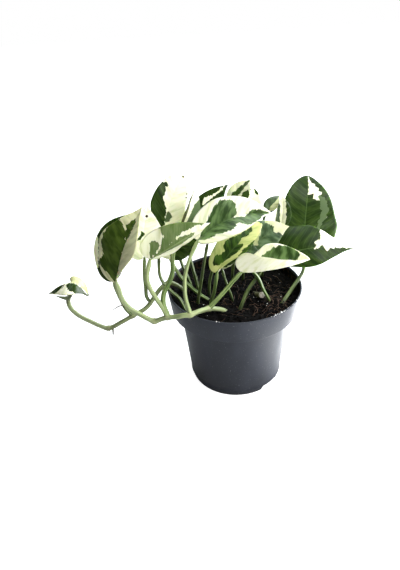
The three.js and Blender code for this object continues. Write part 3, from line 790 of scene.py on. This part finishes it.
# A leaf's blade: two finely waved faces that meet at the margin
def add_blade(key, leaf, seed, looks):
    s, out, share = blade_grid(leaf)
    middle, width = blade_surface(leaf, s, out)
    normal = grid_normals(middle)
    length = leaf["length"]
    vein = s - VEIN_SLANT * np.abs(out) ** VEIN_CURVE * (1 - VEIN_STRAIGHTENING * s)
    heights = blade_relief(key, seed, s, out, share, vein, width)

    rows, columns = s.shape
    upper = np.arange(rows * columns).reshape(rows, columns)
    upper[0], upper[-1] = upper[0, 0], upper[-1, 0]
    lower = upper + rows * columns
    lower[:, 0], lower[:, -1] = upper[:, 0], upper[:, -1]
    lower[0], lower[-1] = upper[0], upper[-1]
    used, numbers = np.unique(np.concatenate([upper.ravel(), lower.ravel()]), return_inverse=True)
    upper, lower = numbers.reshape(2, rows, columns)
    upper_faces = grid_faces(upper)
    lower_faces = grid_faces(lower, flipped=True)
    points = np.vstack([(middle + normal * height[..., None]).reshape(-1, 3) for height in heights])
    name = "leaf_" + key
    slot = "leaf_cream" if key in CREAM_LEAVES else "leaf_green"
    piece = add_piece(name + ".blade", points[used], upper_faces + lower_faces, looks[0], slot, name)
    piece.data.materials.append(looks[1])
    under = [0] * len(upper_faces) + [1] * len(lower_faces)
    piece.data.polygons.foreach_set("material_index", under)

    def add_to_both(kind, values):
        flat = values.reshape(rows * columns, *values.shape[2:])
        add_values(piece, kind, np.concatenate([flat, flat])[used])

    place = [vein * length, np.abs(width * out), np.full(s.shape, LEAF_SPACING * seed)]
    add_to_both("vein", np.stack(place, axis=-1))
    ground, patches = MARBLING.get(key, ("green", []))
    for kind in ("green", "milky"):
        add_to_both(kind, patch_distance(leaf, ground, patches, s, out, kind))
    spot = np.zeros(s.shape)
    for along, across, radius in SPOTS.get(key, []):
        away = np.hypot((s - along / 100) * length, (out - across / 100) * width)
        spot = np.maximum(spot, bell(away, radius))
    add_to_both("spot", spot)


# The nodes of a material or of the world, added one after another
class Look:
    def __init__(self, owner, shader="Principled BSDF"):
        owner.use_nodes = True
        self.owner = owner
        self.tree = owner.node_tree
        self.shader = self.tree.nodes[shader]

    def put(self, socket, value):
        if isinstance(value, bpy.types.NodeSocket):
            self.tree.links.new(value, socket)
        elif socket.type == "RGBA":
            socket.default_value = (*value, 1)
        else:
            socket.default_value = value

    # A new node's outputs. An input is named, with _ for a space, or numbered after an i.
    def node(self, kind, settings=None, **inputs):
        node = self.tree.nodes.new("ShaderNode" + kind)
        for key, value in (settings or {}).items():
            setattr(node, key, value)
        for key, value in inputs.items():
            place = int(key[1:]) if key[1:].isdigit() else key.replace("_", " ")
            self.put(node.inputs[place], value)
        return node.outputs

    def calc(self, operation, a, b=0.0):
        return self.node("Math", dict(operation=operation), i0=a, i1=b)[0]

    def plus(self, a, b):
        return self.calc("ADD", a, b)

    def minus(self, a, b):
        return self.calc("SUBTRACT", a, b)

    def times(self, a, b):
        return self.calc("MULTIPLY", a, b)

    def step(self, value, low, high):
        settings = dict(interpolation_type="SMOOTHSTEP")
        return self.node("MapRange", settings, Value=value, From_Min=low, From_Max=high)[0]

    def between(self, share, low, high):
        return self.node("MapRange", Value=share, To_Min=low, To_Max=high)[0]

    # One value where the camera looks straight at it, another for all other light
    def by_ray(self, seen, unseen):
        return self.between(self.node("LightPath")["Is Camera Ray"], unseen, seen)

    def mix(self, share, a, b):
        return self.node("Mix", dict(data_type="RGBA"), i0=share, i6=a, i7=b)[2]

    def attribute(self, name, output="Fac"):
        return self.node("Attribute", dict(attribute_name=name))[output]

    def place(self):
        return self.node("TexCoord")["Object"]

    def split(self, vector):
        return self.node("SeparateXYZ", Vector=vector)

    def scaled(self, vector, sizes):
        return self.node("VectorMath", dict(operation="MULTIPLY"), i0=vector, i1=sizes)[0]

    def noise(self, vector, scale=1, detail=1.0):
        return self.node("TexNoise", Vector=vector, Scale=scale, Detail=detail)["Fac"]

    def bump(self, height, strength, distance):
        normal = self.node("Bump", Height=height, Strength=strength, Distance=distance)[0]
        self.put(self.shader.inputs["Normal"], normal)

    def finish(self, **inputs):
        for key, value in inputs.items():
            self.put(self.shader.inputs[key.replace("_", " ")], value)
        return self.owner


def new_look(name):
    return Look(bpy.data.materials.new(name))


# One face of the leaves: green and cream with ragged borders that run with the side veins
def leaf_look(name, tints):
    look = new_look(name)
    vein = look.attribute("vein", "Vector")
    along, aside, _ = look.split(vein)

    def drawn_out(stretch, detail=1.0):
        return look.noise(look.scaled(vein, stretch), detail=detail)

    jag = look.minus(drawn_out((0.33, 0.07, 1)), 0.5)
    flecks = look.minus(drawn_out((1.0, 0.18, 1)), 0.5)

    def inside(kind, jag_depth, fleck_depth, low, high):
        border = look.plus(look.times(jag, jag_depth), look.times(flecks, fleck_depth))
        return look.step(look.plus(look.attribute(kind), border), low, high)

    # Blotches of light green: real mottling, and painted sheen where a kind's light green is very pale
    blotches_and_sheen = look.step(drawn_out((0.2, 0.1, 1), detail=2.5), 0.35, 0.68)
    green = look.mix(blotches_and_sheen, tints["dark"], tints["light"])
    midrib = look.minus(1.0, look.step(aside, *MIDRIB_FADE))
    green = look.mix(look.times(midrib, MIDRIB_STRENGTH), green, tints["rib"])
    wobble = look.times(look.noise(look.place(), scale=90), VEIN_WOBBLE)
    turns = look.plus(look.times(along, VEINS_PER_MM), wobble)
    off_vein = look.calc("ABSOLUTE", look.minus(look.calc("FRACT", turns), 0.5))
    side_veins = look.times(look.step(off_vein, *VEIN_FADE), VEIN_STRENGTH)
    green = look.mix(side_veins, green, tints["rib"])

    clouds = look.step(drawn_out((0.22, 0.08, 1), detail=3.0), 0.42, 0.72)
    pale = look.mix(clouds, tints["cream"], tints["shade"])
    milky = inside("milky", jag_depth=2.0, fleck_depth=1.2, low=-1.6, high=-0.9)
    pale = look.mix(milky, pale, tints["milky"])
    in_green = inside("green", jag_depth=4.6, fleck_depth=1.6, low=-0.12, high=0.12)
    colour = look.mix(in_green, pale, green)
    spot = look.plus(look.attribute("spot"), look.times(flecks, 0.5))
    brown = (0.05, 0.03, 0.018)
    colour = look.mix(look.step(spot, 0.3, 0.6), colour, brown)
    pores = look.noise(look.place(), scale=2600, detail=2.0)
    look.bump(pores, strength=0.12, distance=0.0004)
    return look.finish(Base_Color=colour, Roughness=tints["roughness"],
                       Specular_IOR_Level=tints["sheen"], Subsurface_Weight=0.2,
                       Subsurface_Radius=(0.8, 1.0, 0.3), Subsurface_Scale=0.001)


def stem_look(name, shaded, lit, scar):
    look = new_look(name)
    along_stem = look.scaled(look.attribute("stem", "Vector"), (0.035, 1.3, 1.3))
    stripes = look.noise(along_stem, detail=2.0)
    colour = look.mix(look.step(stripes, 0.4, 0.6), shaded, lit)
    pale_green = (0.62, 0.66, 0.4)
    # A deep dark green that petioles turn over their first few mm above the soil
    dark_green_near_soil = (0.015, 0.022, 0.007)
    colour = look.mix(look.attribute("pale"), colour, pale_green)
    colour = look.mix(look.attribute("scar"), colour, scar)
    colour = look.mix(look.attribute("darkened_near_soil"), colour, dark_green_near_soil)
    look.bump(stripes, strength=0.3, distance=0.0005)
    return look.finish(Base_Color=colour, Roughness=0.45, Specular_IOR_Level=0.3,
                       Subsurface_Weight=0.15, Subsurface_Radius=(0.8, 1.0, 0.4),
                       Subsurface_Scale=0.001)


def cut_look():
    look = new_look("cut_wood")
    along_stem = look.scaled(look.attribute("stem", "Vector"), (0.2, 1.5, 1.5))
    stripes = look.noise(along_stem, detail=3.0)
    bark = look.mix(stripes, (0.10, 0.11, 0.05), (0.22, 0.2, 0.1))
    pith = look.step(look.noise(look.place(), scale=700, detail=2.0), 0.55, 0.75)
    wood = look.mix(pith, (1, 0.9, 0.8), (0.7, 0.5, 0.42))
    colour = look.mix(look.step(look.attribute("end"), 0.4, 0.6), bark, wood)
    return look.finish(Base_Color=colour, Roughness=0.7)


# One on the collar's inner wall: there the colour is painted darker as shade, with real soil stains
def inner_wall(look, place):
    height = look.split(place)[2]
    flat = look.scaled(place, (1, 1, 0))
    radius = look.node("VectorMath", dict(operation="LENGTH"), i0=flat)["Value"]
    taper = (RIM_RADIUS - COLLAR_FOOT_RADIUS) / COLLAR_HEIGHT
    drop = look.minus(POT_HEIGHT * MM, height)
    outer = look.plus(radius, look.times(drop, taper))
    within = look.step(outer, (RIM_RADIUS - WALL * 0.5) * MM, (RIM_RADIUS - WALL * 0.7) * MM)
    in_collar = look.step(height, COLLAR_FOOT * MM, (COLLAR_FOOT + 2) * MM)
    below_lip = look.step(drop, 1.0 * MM, 2.5 * MM)
    return look.times(look.times(within, in_collar), below_lip)


def pot_look():
    look = new_look("pot_plastic")
    place = look.place()
    drawn_up = look.scaled(place, (1, 1, 0.4))
    smears = look.step(look.noise(drawn_up, scale=45, detail=4.0), 0.4, 0.75)
    colour = look.mix(smears, (0.02, 0.022, 0.03), (0.031, 0.034, 0.046))
    dust = look.step(look.noise(place, scale=900, detail=3.0), 0.66, 0.72)
    colour = look.mix(look.times(dust, 0.3), colour, (0.3, 0.3, 0.3))
    # The collar's inner wall: near black as painted shade, brown clods as real soil stains, and less
    # shine
    shaded_and_stained = inner_wall(look, place)
    clods = look.step(look.noise(place, scale=300, detail=4.0), 0.5, 0.62)
    shade_and_stain = look.mix(clods, (0.003, 0.0028, 0.0025), (0.035, 0.02, 0.014))
    colour = look.mix(shaded_and_stained, colour, shade_and_stain)
    look.bump(look.noise(place, scale=1500, detail=3.0), strength=0.15, distance=0.0003)
    return look.finish(Base_Color=colour, Roughness=look.between(smears, 0.42, 0.55),
                       Specular_IOR_Level=look.between(shaded_and_stained, 0.35, 0.05),
                       Specular_Tint=(0.88, 0.94, 1))


def soil_look():
    look = new_look("soil_dark")
    place = look.place()
    grains = look.step(look.noise(place, scale=420, detail=4.0), 0.35, 0.7)
    colour = look.mix(grains, (0.0006, 0.0005, 0.0005), (0.004, 0.003, 0.0025))
    look.bump(look.noise(place, scale=1300, detail=3.0), strength=0.8, distance=0.0008)
    return look.finish(Base_Color=colour, Roughness=0.95, Specular_IOR_Level=0.1)


def fibre_look():
    look = new_look("fibre")
    shades = look.noise(look.place(), scale=60)
    colour = look.mix(shades, (0.035, 0.018, 0.012), (0.3, 0.19, 0.135))
    return look.finish(Base_Color=colour, Roughness=0.8, Specular_IOR_Level=0.2)


def plain_look(name, colour, roughness):
    return new_look(name).finish(Base_Color=colour, Roughness=roughness)


# One run of a stem as a tube: its points, its faces and each ring point's angle
def tube(path, radii, sides, hollow=0.0, wings=0.0):
    side, other = path_frames(path)
    angle = np.linspace(0, FULL_TURN, sides, endpoint=False)
    off = angle - np.pi
    edges = bell(np.abs(off) - SHEATH_ANGLE, SHEATH_WIDTH)
    dent = 1 - hollow * bell(off, HOLLOW_WIDTH) + np.reshape(wings, (-1, 1)) * edges
    ring = side[:, None] * np.cos(angle)[:, None] + other[:, None] * np.sin(angle)[:, None]
    points = path[:, None] + ring * (np.asarray(radii)[:, None] * dent)[..., None]
    count = len(path) * sides
    index = np.arange(count).reshape(len(path), sides)
    faces = grid_faces(index, closed=True)
    points = np.vstack([points.reshape(-1, 3), path[:1], path[-1:]])
    for here in range(sides):
        following = (here + 1) % sides
        faces.append([count, following, here])
        faces.append([count + 1, index[-1, here], index[-1, following]])
    return points, faces, np.tile(angle, len(path))


# The places along a run and its radius there. A petiole swells into a knee under its blade,
# and then runs on into the midrib.
def run_shape(radius, leaf, through):
    if leaf is None:
        path, far = smooth_path(through, STEM_STEP)
        return path, far, np.full(len(path), float(radius))
    carried = LEAVES[leaf]
    path, far = smooth_path([*through, carried["base"]], STEM_STEP)
    left = far[-1] - far
    knee = KNEE_SWELLING * bell(left - KNEE_PLACE, KNEE_LENGTH)
    neck = NECK_THINNING * bell(left, NECK_LENGTH)
    rib, _ = blade_surface(carried, RIB_RUN, np.zeros(len(RIB_RUN)))
    grid_s, grid_out, _ = blade_grid(carried)
    middle, _ = blade_surface(carried, grid_s, grid_out)
    under = -grid_normals(middle)[RIB_ROW, BLADE_COLUMNS]
    path = np.vstack([path, rib + under * RIB_SINKING])
    radii = np.concatenate([STEM_FULLNESS * radius * (1 + knee - neck), RIB_RADII * radius])
    return path, np.concatenate([far, far[-1] + RIB_RUN * RIB_STRETCH]), radii


# The values of a tube's ring points, and again for its two ends
def with_ends(values):
    return np.concatenate([values, values[:1], values[-1:]])


# A stem with its petioles, in one piece
def add_stem(name, stem, look):
    parts = []
    values = {"stem": [], "scar": [], "pale": [], "darkened_near_soil": []}
    nodes = [np.array(place) for place in stem.get("nodes", [])]
    for number, (radius, leaf, through) in enumerate(stem["runs"]):
        path, far, radii = run_shape(radius, leaf, through)
        is_petiole = number > 0 or not nodes
        scar = np.zeros(len(path))
        if is_petiole:
            radii = radii * (1 + FOOT_SWELLING * bell(far, FOOT_LENGTH))
        else:
            for place in nodes:
                away = np.linalg.norm(path - place, axis=1)
                radii = radii * (1 + (NODE_SWELLING - 1) * bell(away, NODE_LENGTH))
                scar = np.maximum(scar, bell(away - SCAR_PLACE, SCAR_WIDTH))
        fading = 1 - smooth(*SHEATH_FADE, far / far[-1])
        sheath = SHEATH * np.clip(far / SHEATH_START, 0, 1) * fading * is_petiole
        points, faces, angle = tube(path, radii, STEM_SIDES, HOLLOW * is_petiole, sheath)
        parts.append((points, faces))
        place = [np.repeat(far + RUN_SPACING * number, STEM_SIDES), radius * np.cos(angle),
                 radius * np.sin(angle)]
        darkened_near_soil = (1 - smooth(DARKENING_FROM, DARKENING_LENGTH, far)) * (not nodes)
        values["stem"].append(with_ends(np.stack(place, axis=-1)))
        values["scar"].append(with_ends(np.repeat(scar * SCAR_STRENGTH, STEM_SIDES)))
        values["pale"].append(np.full(len(points), float(PALENESS.get(leaf, 0))))
        values["darkened_near_soil"].append(with_ends(np.repeat(darkened_near_soil, STEM_SIDES)))
    points, faces = joined(parts)
    piece = add_piece(name + ".stem", points, faces, look, stem["look"], name)
    for kind, runs in values.items():
        add_values(piece, kind, np.concatenate(runs))
    from_end = np.linalg.norm(points - path[-1], axis=1)
    add_values(piece, "end", from_end < radii[-1] * END_REACH)


# Tapered runs along given places, in one piece
def add_spikes(name, spikes, look, slot):
    parts = []
    for through, first, last in spikes:
        path, far = smooth_path(through, SPIKE_STEP)
        radii = first + (last - first) * far / far[-1]
        parts.append(tube(path, radii, SPIKE_SIDES)[:2])
    add_joined(name, parts, look, slot)


# Short roots at a node of the left vine, and a fine one further up
def add_roots(look):
    add_spikes("vine_left.roots", [
        ([(-112, -14, 66), (-112.2, -14.3, 62), (-112.8, -14, 57.5)], 0.95, 0.6),
        ([(-115, -14, 65), (-115.4, -14.3, 62.3)], 0.9, 0.6),
        ([(-98.6, -16, 90), (-101.8, -18, 91), (-104.9, -19, 90), (-108.1, -20, 88)], 0.6, 0.35),
    ], look, "cut_stem")


# The dry sheath that stands out under the left vine's end leaf
def add_sheath(look):
    add_spikes("vine_left.sheath", [
        ([(-144.5, -14.5, 100), (-148, -15.5, 101), (-155.4, -16, 104)], 2.3, 0.2),
        ([(-143.6, -13.5, 101), (-142, -14, 105.5)], 1.3, 0.5),
    ], look, "stem_green")


# The soil's gentle waves, as in the solid, and its lumps
def soil_height(x, y):
    broad = np.sin(x * 0.11 + 0.7) * np.cos(y * 0.13 - 0.4)
    fine = 0.6 * np.sin(x * 0.27 - y * 0.19 + 1.1)
    lumps = sum(high * rough(x / wide, y / wide, seed)
                for seed, (high, wide) in enumerate(SOIL_LUMPS, 1))
    return SOIL_TOP + SOIL_UNEVENNESS * (broad + fine) + (lumps - SOIL_SINKING)


# A body of revolution from its profile of radius and height, closed on the axis
def turned(profile, sides):
    angle = np.linspace(0, FULL_TURN, sides, endpoint=False)
    radius, height = np.array(profile, float).T
    points = np.stack([
        radius[:, None] * np.cos(angle),
        radius[:, None] * np.sin(angle),
        np.broadcast_to(height[:, None], (len(radius), sides)),
    ], axis=-1)
    index = np.arange(len(radius) * sides).reshape(len(radius), sides)
    for row in (0, -1):
        if radius[row] == 0:
            index[row] = index[row, 0]
    used, numbers = np.unique(index, return_inverse=True)
    faces = grid_faces(numbers.reshape(index.shape), closed=True)
    return points.reshape(-1, 3)[used], faces


def add_soil(look):
    rise = (SOIL_TOP - COLLAR_FOOT) / COLLAR_HEIGHT
    inset = WALL + GAP
    top_radius = COLLAR_FOOT_RADIUS + (RIM_RADIUS - COLLAR_FOOT_RADIUS) * rise - inset
    points, faces = turned([
        (0, FLOOR + GAP),
        (FOOT_RADIUS - inset, FLOOR + GAP),
        (BODY_TOP_RADIUS - inset, COLLAR_FOOT + inset),
        (COLLAR_FOOT_RADIUS - inset, COLLAR_FOOT + inset),
        *[(top_radius * (1 - i / SOIL_RINGS), SOIL_TOP) for i in range(SOIL_RINGS + 1)],
    ], SOIL_SIDES)
    on_top = points[:, 2] > SOIL_TOP - GAP
    points[on_top, 2] = soil_height(points[on_top, 0], points[on_top, 1])
    add_piece("soil.ground", points, faces, look, "soil", "soil")


def unit_ball(rings, sides):
    profile = [on_circle(1, math.pi * (i / rings - 0.5)) for i in range(rings + 1)]
    profile[0], profile[-1] = (0, -1), (0, 1)
    return turned(profile, sides)


# A rough lump: a ball whose corners stand in or out at random, lifted by a share of its size
def lump(chance, x, y, level, size, lift, ball):
    points, faces = ball
    shape = points * chance.uniform(*LUMP_CORNERS, (len(points), 1)) * chance.uniform(*LUMP_STRETCH, 3)
    turn = np.array(Matrix.Rotation(chance.uniform(*LUMP_TURNS), 3, Vector(chance.normal(size=3))))
    return shape @ turn.T * size + (x, y, float(level) + size * lift), faces


# A place at random within a distance of the pot's axis
def random_place(chance, limit):
    radius = limit * math.sqrt(chance.uniform())
    return on_circle(radius, chance.uniform(0, FULL_TURN))


# Crumbs and small lumps on the soil
def add_crumbs(look):
    chance = np.random.default_rng(CRUMB_SEED)
    ball = unit_ball(*CRUMB_BALL)
    parts = []
    for _ in range(CRUMBS):
        x, y = random_place(chance, RIM_RADIUS - RIM_CLEARANCE)
        size = CRUMB_LEAST + CRUMB_GROWTH * chance.uniform() ** 3
        parts.append(lump(chance, x, y, soil_height(x, y), size, CRUMB_LIFT, ball))
    add_joined("soil.crumbs", parts, look, "soil")


# Fibres that lie curled on the soil, most of them near the heap
def add_fibres(look):
    chance = np.random.default_rng(FIBRE_SEED)
    parts = []
    t = np.linspace(0, 1, FIBRE_PLACES)
    for _ in range(FIBRES):
        x, y = random_place(chance, RIM_RADIUS - FIBRE_CLEARANCE)
        nearness = math.exp(-math.dist((x, y), FIBRE_HEAP) / FIBRE_SPREAD)
        if chance.uniform() > FIBRE_CHANCE + nearness:
            continue
        length = chance.uniform(*FIBRE_LENGTHS)
        heading = chance.uniform(0, FULL_TURN)
        curl = chance.normal() * FIBRE_CURL
        hump = chance.uniform(*FIBRE_HUMPS)
        direction = heading + curl * length * (t - 0.5) * 2
        px = x + np.cumsum(np.cos(direction)) * length / FIBRE_PLACES
        py = y + np.cumsum(np.sin(direction)) * length / FIBRE_PLACES
        if np.hypot(px, py).max() > RIM_RADIUS - RIM_CLEARANCE:
            continue
        pz = soil_height(px, py) + FIBRE_LIFT + hump * np.sin(np.pi * t)
        pz[[0, -1]] -= FIBRE_END_DROP
        radii = np.full(FIBRE_PLACES, chance.uniform(*FIBRE_RADII))
        parts.append(tube(np.stack([px, py, pz], axis=-1), radii, FIBRE_SIDES)[:2])
    add_joined("soil.fibres", parts, look, "soil")


# White grains of perlite on the rim and in the soil
def add_grains(look):
    chance = np.random.default_rng(GRAIN_SEED)
    ball = unit_ball(*GRAIN_BALL)
    parts = []

    def add_on_rim(degrees, inset, size, lift):
        x, y = on_circle(RIM_RADIUS - inset, math.radians(degrees))
        parts.append(lump(chance, x, y, POT_HEIGHT, size, lift, ball))

    for degrees, size in RIM_GRAINS:
        add_on_rim(degrees, RIM_GRAIN_INSET, size, GRAIN_LIFT)
    for _ in range(RIM_DUST):
        degrees = chance.uniform(*RIM_DUST_ANGLES)
        inset = chance.uniform(*RIM_DUST_INSETS)
        add_on_rim(degrees, inset, chance.uniform(*RIM_DUST_SIZES), RIM_DUST_LIFT)
    for _ in range(SOIL_GRAINS):
        x, y = random_place(chance, RIM_RADIUS - SOIL_GRAIN_CLEARANCE)
        size = chance.uniform(*SOIL_GRAIN_SIZES)
        parts.append(lump(chance, x, y, soil_height(x, y), size, GRAIN_LIFT, ball))
    add_joined("soil.perlite", parts, look, "soil")


def subtract(piece, cutters):
    for cutter in cutters:
        change = piece.modifiers.new(cutter.name, "BOOLEAN")
        change.operation = "DIFFERENCE"
        change.solver = "EXACT"
        change.object = cutter
    bpy.context.view_layer.update()
    solved = piece.evaluated_get(bpy.context.evaluated_depsgraph_get())
    mesh = bpy.data.meshes.new_from_object(solved)
    piece.modifiers.clear()
    piece.data = mesh
    for cutter in cutters:
        bpy.data.objects.remove(cutter)


def drain_hole(angle):
    radius, low, high = DRAIN_HOLE_RADIUS, -CUT_CLEARANCE, FLOOR + CUT_CLEARANCE
    points, faces = turned([(0, low), (radius, low), (radius, high), (0, high)], DRAIN_HOLE_SIDES)
    return add_object("drain_hole", points + (*on_circle(DRAIN_RING_RADIUS, angle), 0), faces)


# A block for a gap under the foot's edge, wider at its foot
def foot_notch(angle):
    depth, width, height = NOTCH_DEPTH, NOTCH_WIDTH / 2, NOTCH_HEIGHT
    corners = np.array([(x, side * (width + flare), z) for x in (-depth, depth) for side in (-1, 1)
                        for z, flare in ((-height, NOTCH_FLARE), (height, 0))], float)
    faces = [(0, 1, 3, 2), (4, 6, 7, 5), (0, 4, 5, 1), (2, 3, 7, 6), (0, 2, 6, 4), (1, 5, 7, 3)]
    turn = np.array(Matrix.Rotation(angle, 3, "Z"))
    return add_object("foot_notch", corners @ turn.T + (*on_circle(FOOT_RADIUS, angle), 0), faces)


# A quarter turn of a rounded edge about a place of the profile
def rounded(radius, height, first_degrees):
    turns = [math.radians(first_degrees + 90 * i / EDGE_STEPS) for i in range(EDGE_STEPS + 1)]
    arc = [on_circle(EDGE_RADIUS, turn) for turn in turns]
    return [(radius + out, height + up) for out, up in arc]


# The pot: body, stepped collar, a shallow bead above the foot, drain holes and foot notches
def add_pot(look):
    r = EDGE_RADIUS
    slope = (BODY_TOP_RADIUS - FOOT_RADIUS) / COLLAR_FOOT

    def body(height, out=0.0):
        return FOOT_RADIUS + slope * height + out, height

    profile = [
        (0, 0),
        *rounded(FOOT_RADIUS - FOOT_LEDGE - r, r, -90),
        body(FOOT_RING_HEIGHT - FOOT_LEDGE_EDGE, -FOOT_LEDGE),
        body(FOOT_RING_HEIGHT, FOOT_BEAD),
        body(FOOT_RING_HEIGHT + FOOT_BEAD_HEIGHT),
        *[body(height) for height in BODY_RING_HEIGHTS],
        body(COLLAR_FOOT - SHOULDER_DROP),
        (BODY_TOP_RADIUS + SHOULDER_REACH, COLLAR_FOOT),
        *rounded(COLLAR_FOOT_RADIUS - r, COLLAR_FOOT + r, -90),
        *rounded(RIM_RADIUS - r, POT_HEIGHT - r, 0),
        *rounded(RIM_RADIUS - WALL + r, POT_HEIGHT - r, 90),
        (COLLAR_FOOT_RADIUS - WALL, COLLAR_FOOT + WALL),
        (BODY_TOP_RADIUS - WALL, COLLAR_FOOT + WALL),
        (FOOT_RADIUS - WALL, FLOOR),
        (0, FLOOR),
    ]
    piece = add_piece("pot.shell", *turned(profile, POT_SIDES), look, "pot_plastic", "pot")
    holes = [drain_hole(FULL_TURN * i / DRAIN_HOLES) for i in range(DRAIN_HOLES)]
    first = math.radians(NOTCH_FIRST_ANGLE)
    notches = [foot_notch(first + FULL_TURN * i / NOTCHES) for i in range(NOTCHES)]
    subtract(piece, holes + notches)
    piece.data.shade_smooth()
    piece.data.set_sharp_from_angle(angle=math.radians(SHARP_ANGLE))


def floor_look():
    look = new_look("floor")
    across, back, _ = look.split(look.place())
    power = look.plus(look.times(look.step(back, *PATCH_BACK), PATCH_BACK_GLOW), PATCH_GLOW)
    patch = look.times(look.step(across, *PATCH_SIDE), power)
    glow = look.by_ray(FLOOR_WHITE, look.plus(patch, FLOOR_GLOW))
    return look.finish(Base_Color=(0.6, 0.6, 0.6), Roughness=0.9, Emission_Color=(1, 1, 1),
                       Emission_Strength=glow)


def add_stage():
    half = FLOOR_HALF / MM
    corners = [(-half, -half, 0), (half, -half, 0), (half, half, 0), (-half, half, 0)]
    floor = add_object("floor", corners, [(0, 1, 2, 3)])
    floor.data.materials.append(floor_look())
    floor.location.z = -FLOOR_DROP
    studio = Look(bpy.data.worlds.new("studio"), "Background")
    bpy.context.scene.world = studio.finish(Color=(1, 1, 1), Strength=studio.by_ray(1.0, AMBIENT))


# A soft square light that looks at the plant
def add_light(name, place, size, power, colour):
    data = bpy.data.lights.new(name, "AREA")
    data.size = size
    data.energy = power
    data.color = colour
    light = add_to_scene(bpy.data.objects.new(name, data))
    light.location = place
    aim = Vector(LIT_PLACE) - Vector(place)
    light.rotation_euler = aim.to_track_quat("-Z", "Y").to_euler()


def add_camera():
    data = bpy.data.cameras.new("camera")
    data.lens = CAMERA_LENS
    camera = add_to_scene(bpy.data.objects.new("camera", data))
    tilt = Matrix.Rotation(math.radians(90 - CAMERA_DOWN), 4, "X")
    roll = Matrix.Rotation(math.radians(CAMERA_ROLL), 4, "Z")
    camera.matrix_world = Matrix.Translation(Vector(CAMERA_PLACE) * MM) @ tilt @ roll
    bpy.context.scene.camera = camera


leaf_tops = {kind: leaf_look("leaf_" + kind, {**PLAIN_TINTS, **changes})
             for kind, changes in KINDS.items()}
leaf_under = leaf_look("leaf_under", UNDERSIDE)
for seed, (key, leaf) in enumerate(LEAVES.items()):
    add_blade(key, leaf, seed, (leaf_tops[LEAF_KINDS.get(key, "plain")], leaf_under))

stem_looks = {
    "stem_green": stem_look("stem_green", shaded=(0.05, 0.075, 0.018), lit=(0.19, 0.25, 0.09),
                            scar=(0.26, 0.24, 0.12)),
    "stem_light": stem_look("stem_light", shaded=(0.08, 0.14, 0.035), lit=(0.28, 0.36, 0.13),
                            scar=(0.4, 0.38, 0.22)),
    "cut_stem": cut_look(),
}
for name, stem in STEMS.items():
    add_stem(name, stem, stem_looks[stem["look"]])

add_roots(plain_look("root", (0.07, 0.055, 0.035), roughness=0.8))
add_sheath(plain_look("dry_sheath", (0.13, 0.15, 0.08), roughness=0.6))

add_pot(pot_look())
dark_soil = soil_look()
add_soil(dark_soil)
add_crumbs(dark_soil)
add_fibres(fibre_look())
add_grains(plain_look("perlite", (0.8, 0.8, 0.78), roughness=0.8))

add_stage()
for light in LIGHTS:
    add_light(*light)
add_camera()
bpy.context.scene.view_settings.view_transform = "Standard"
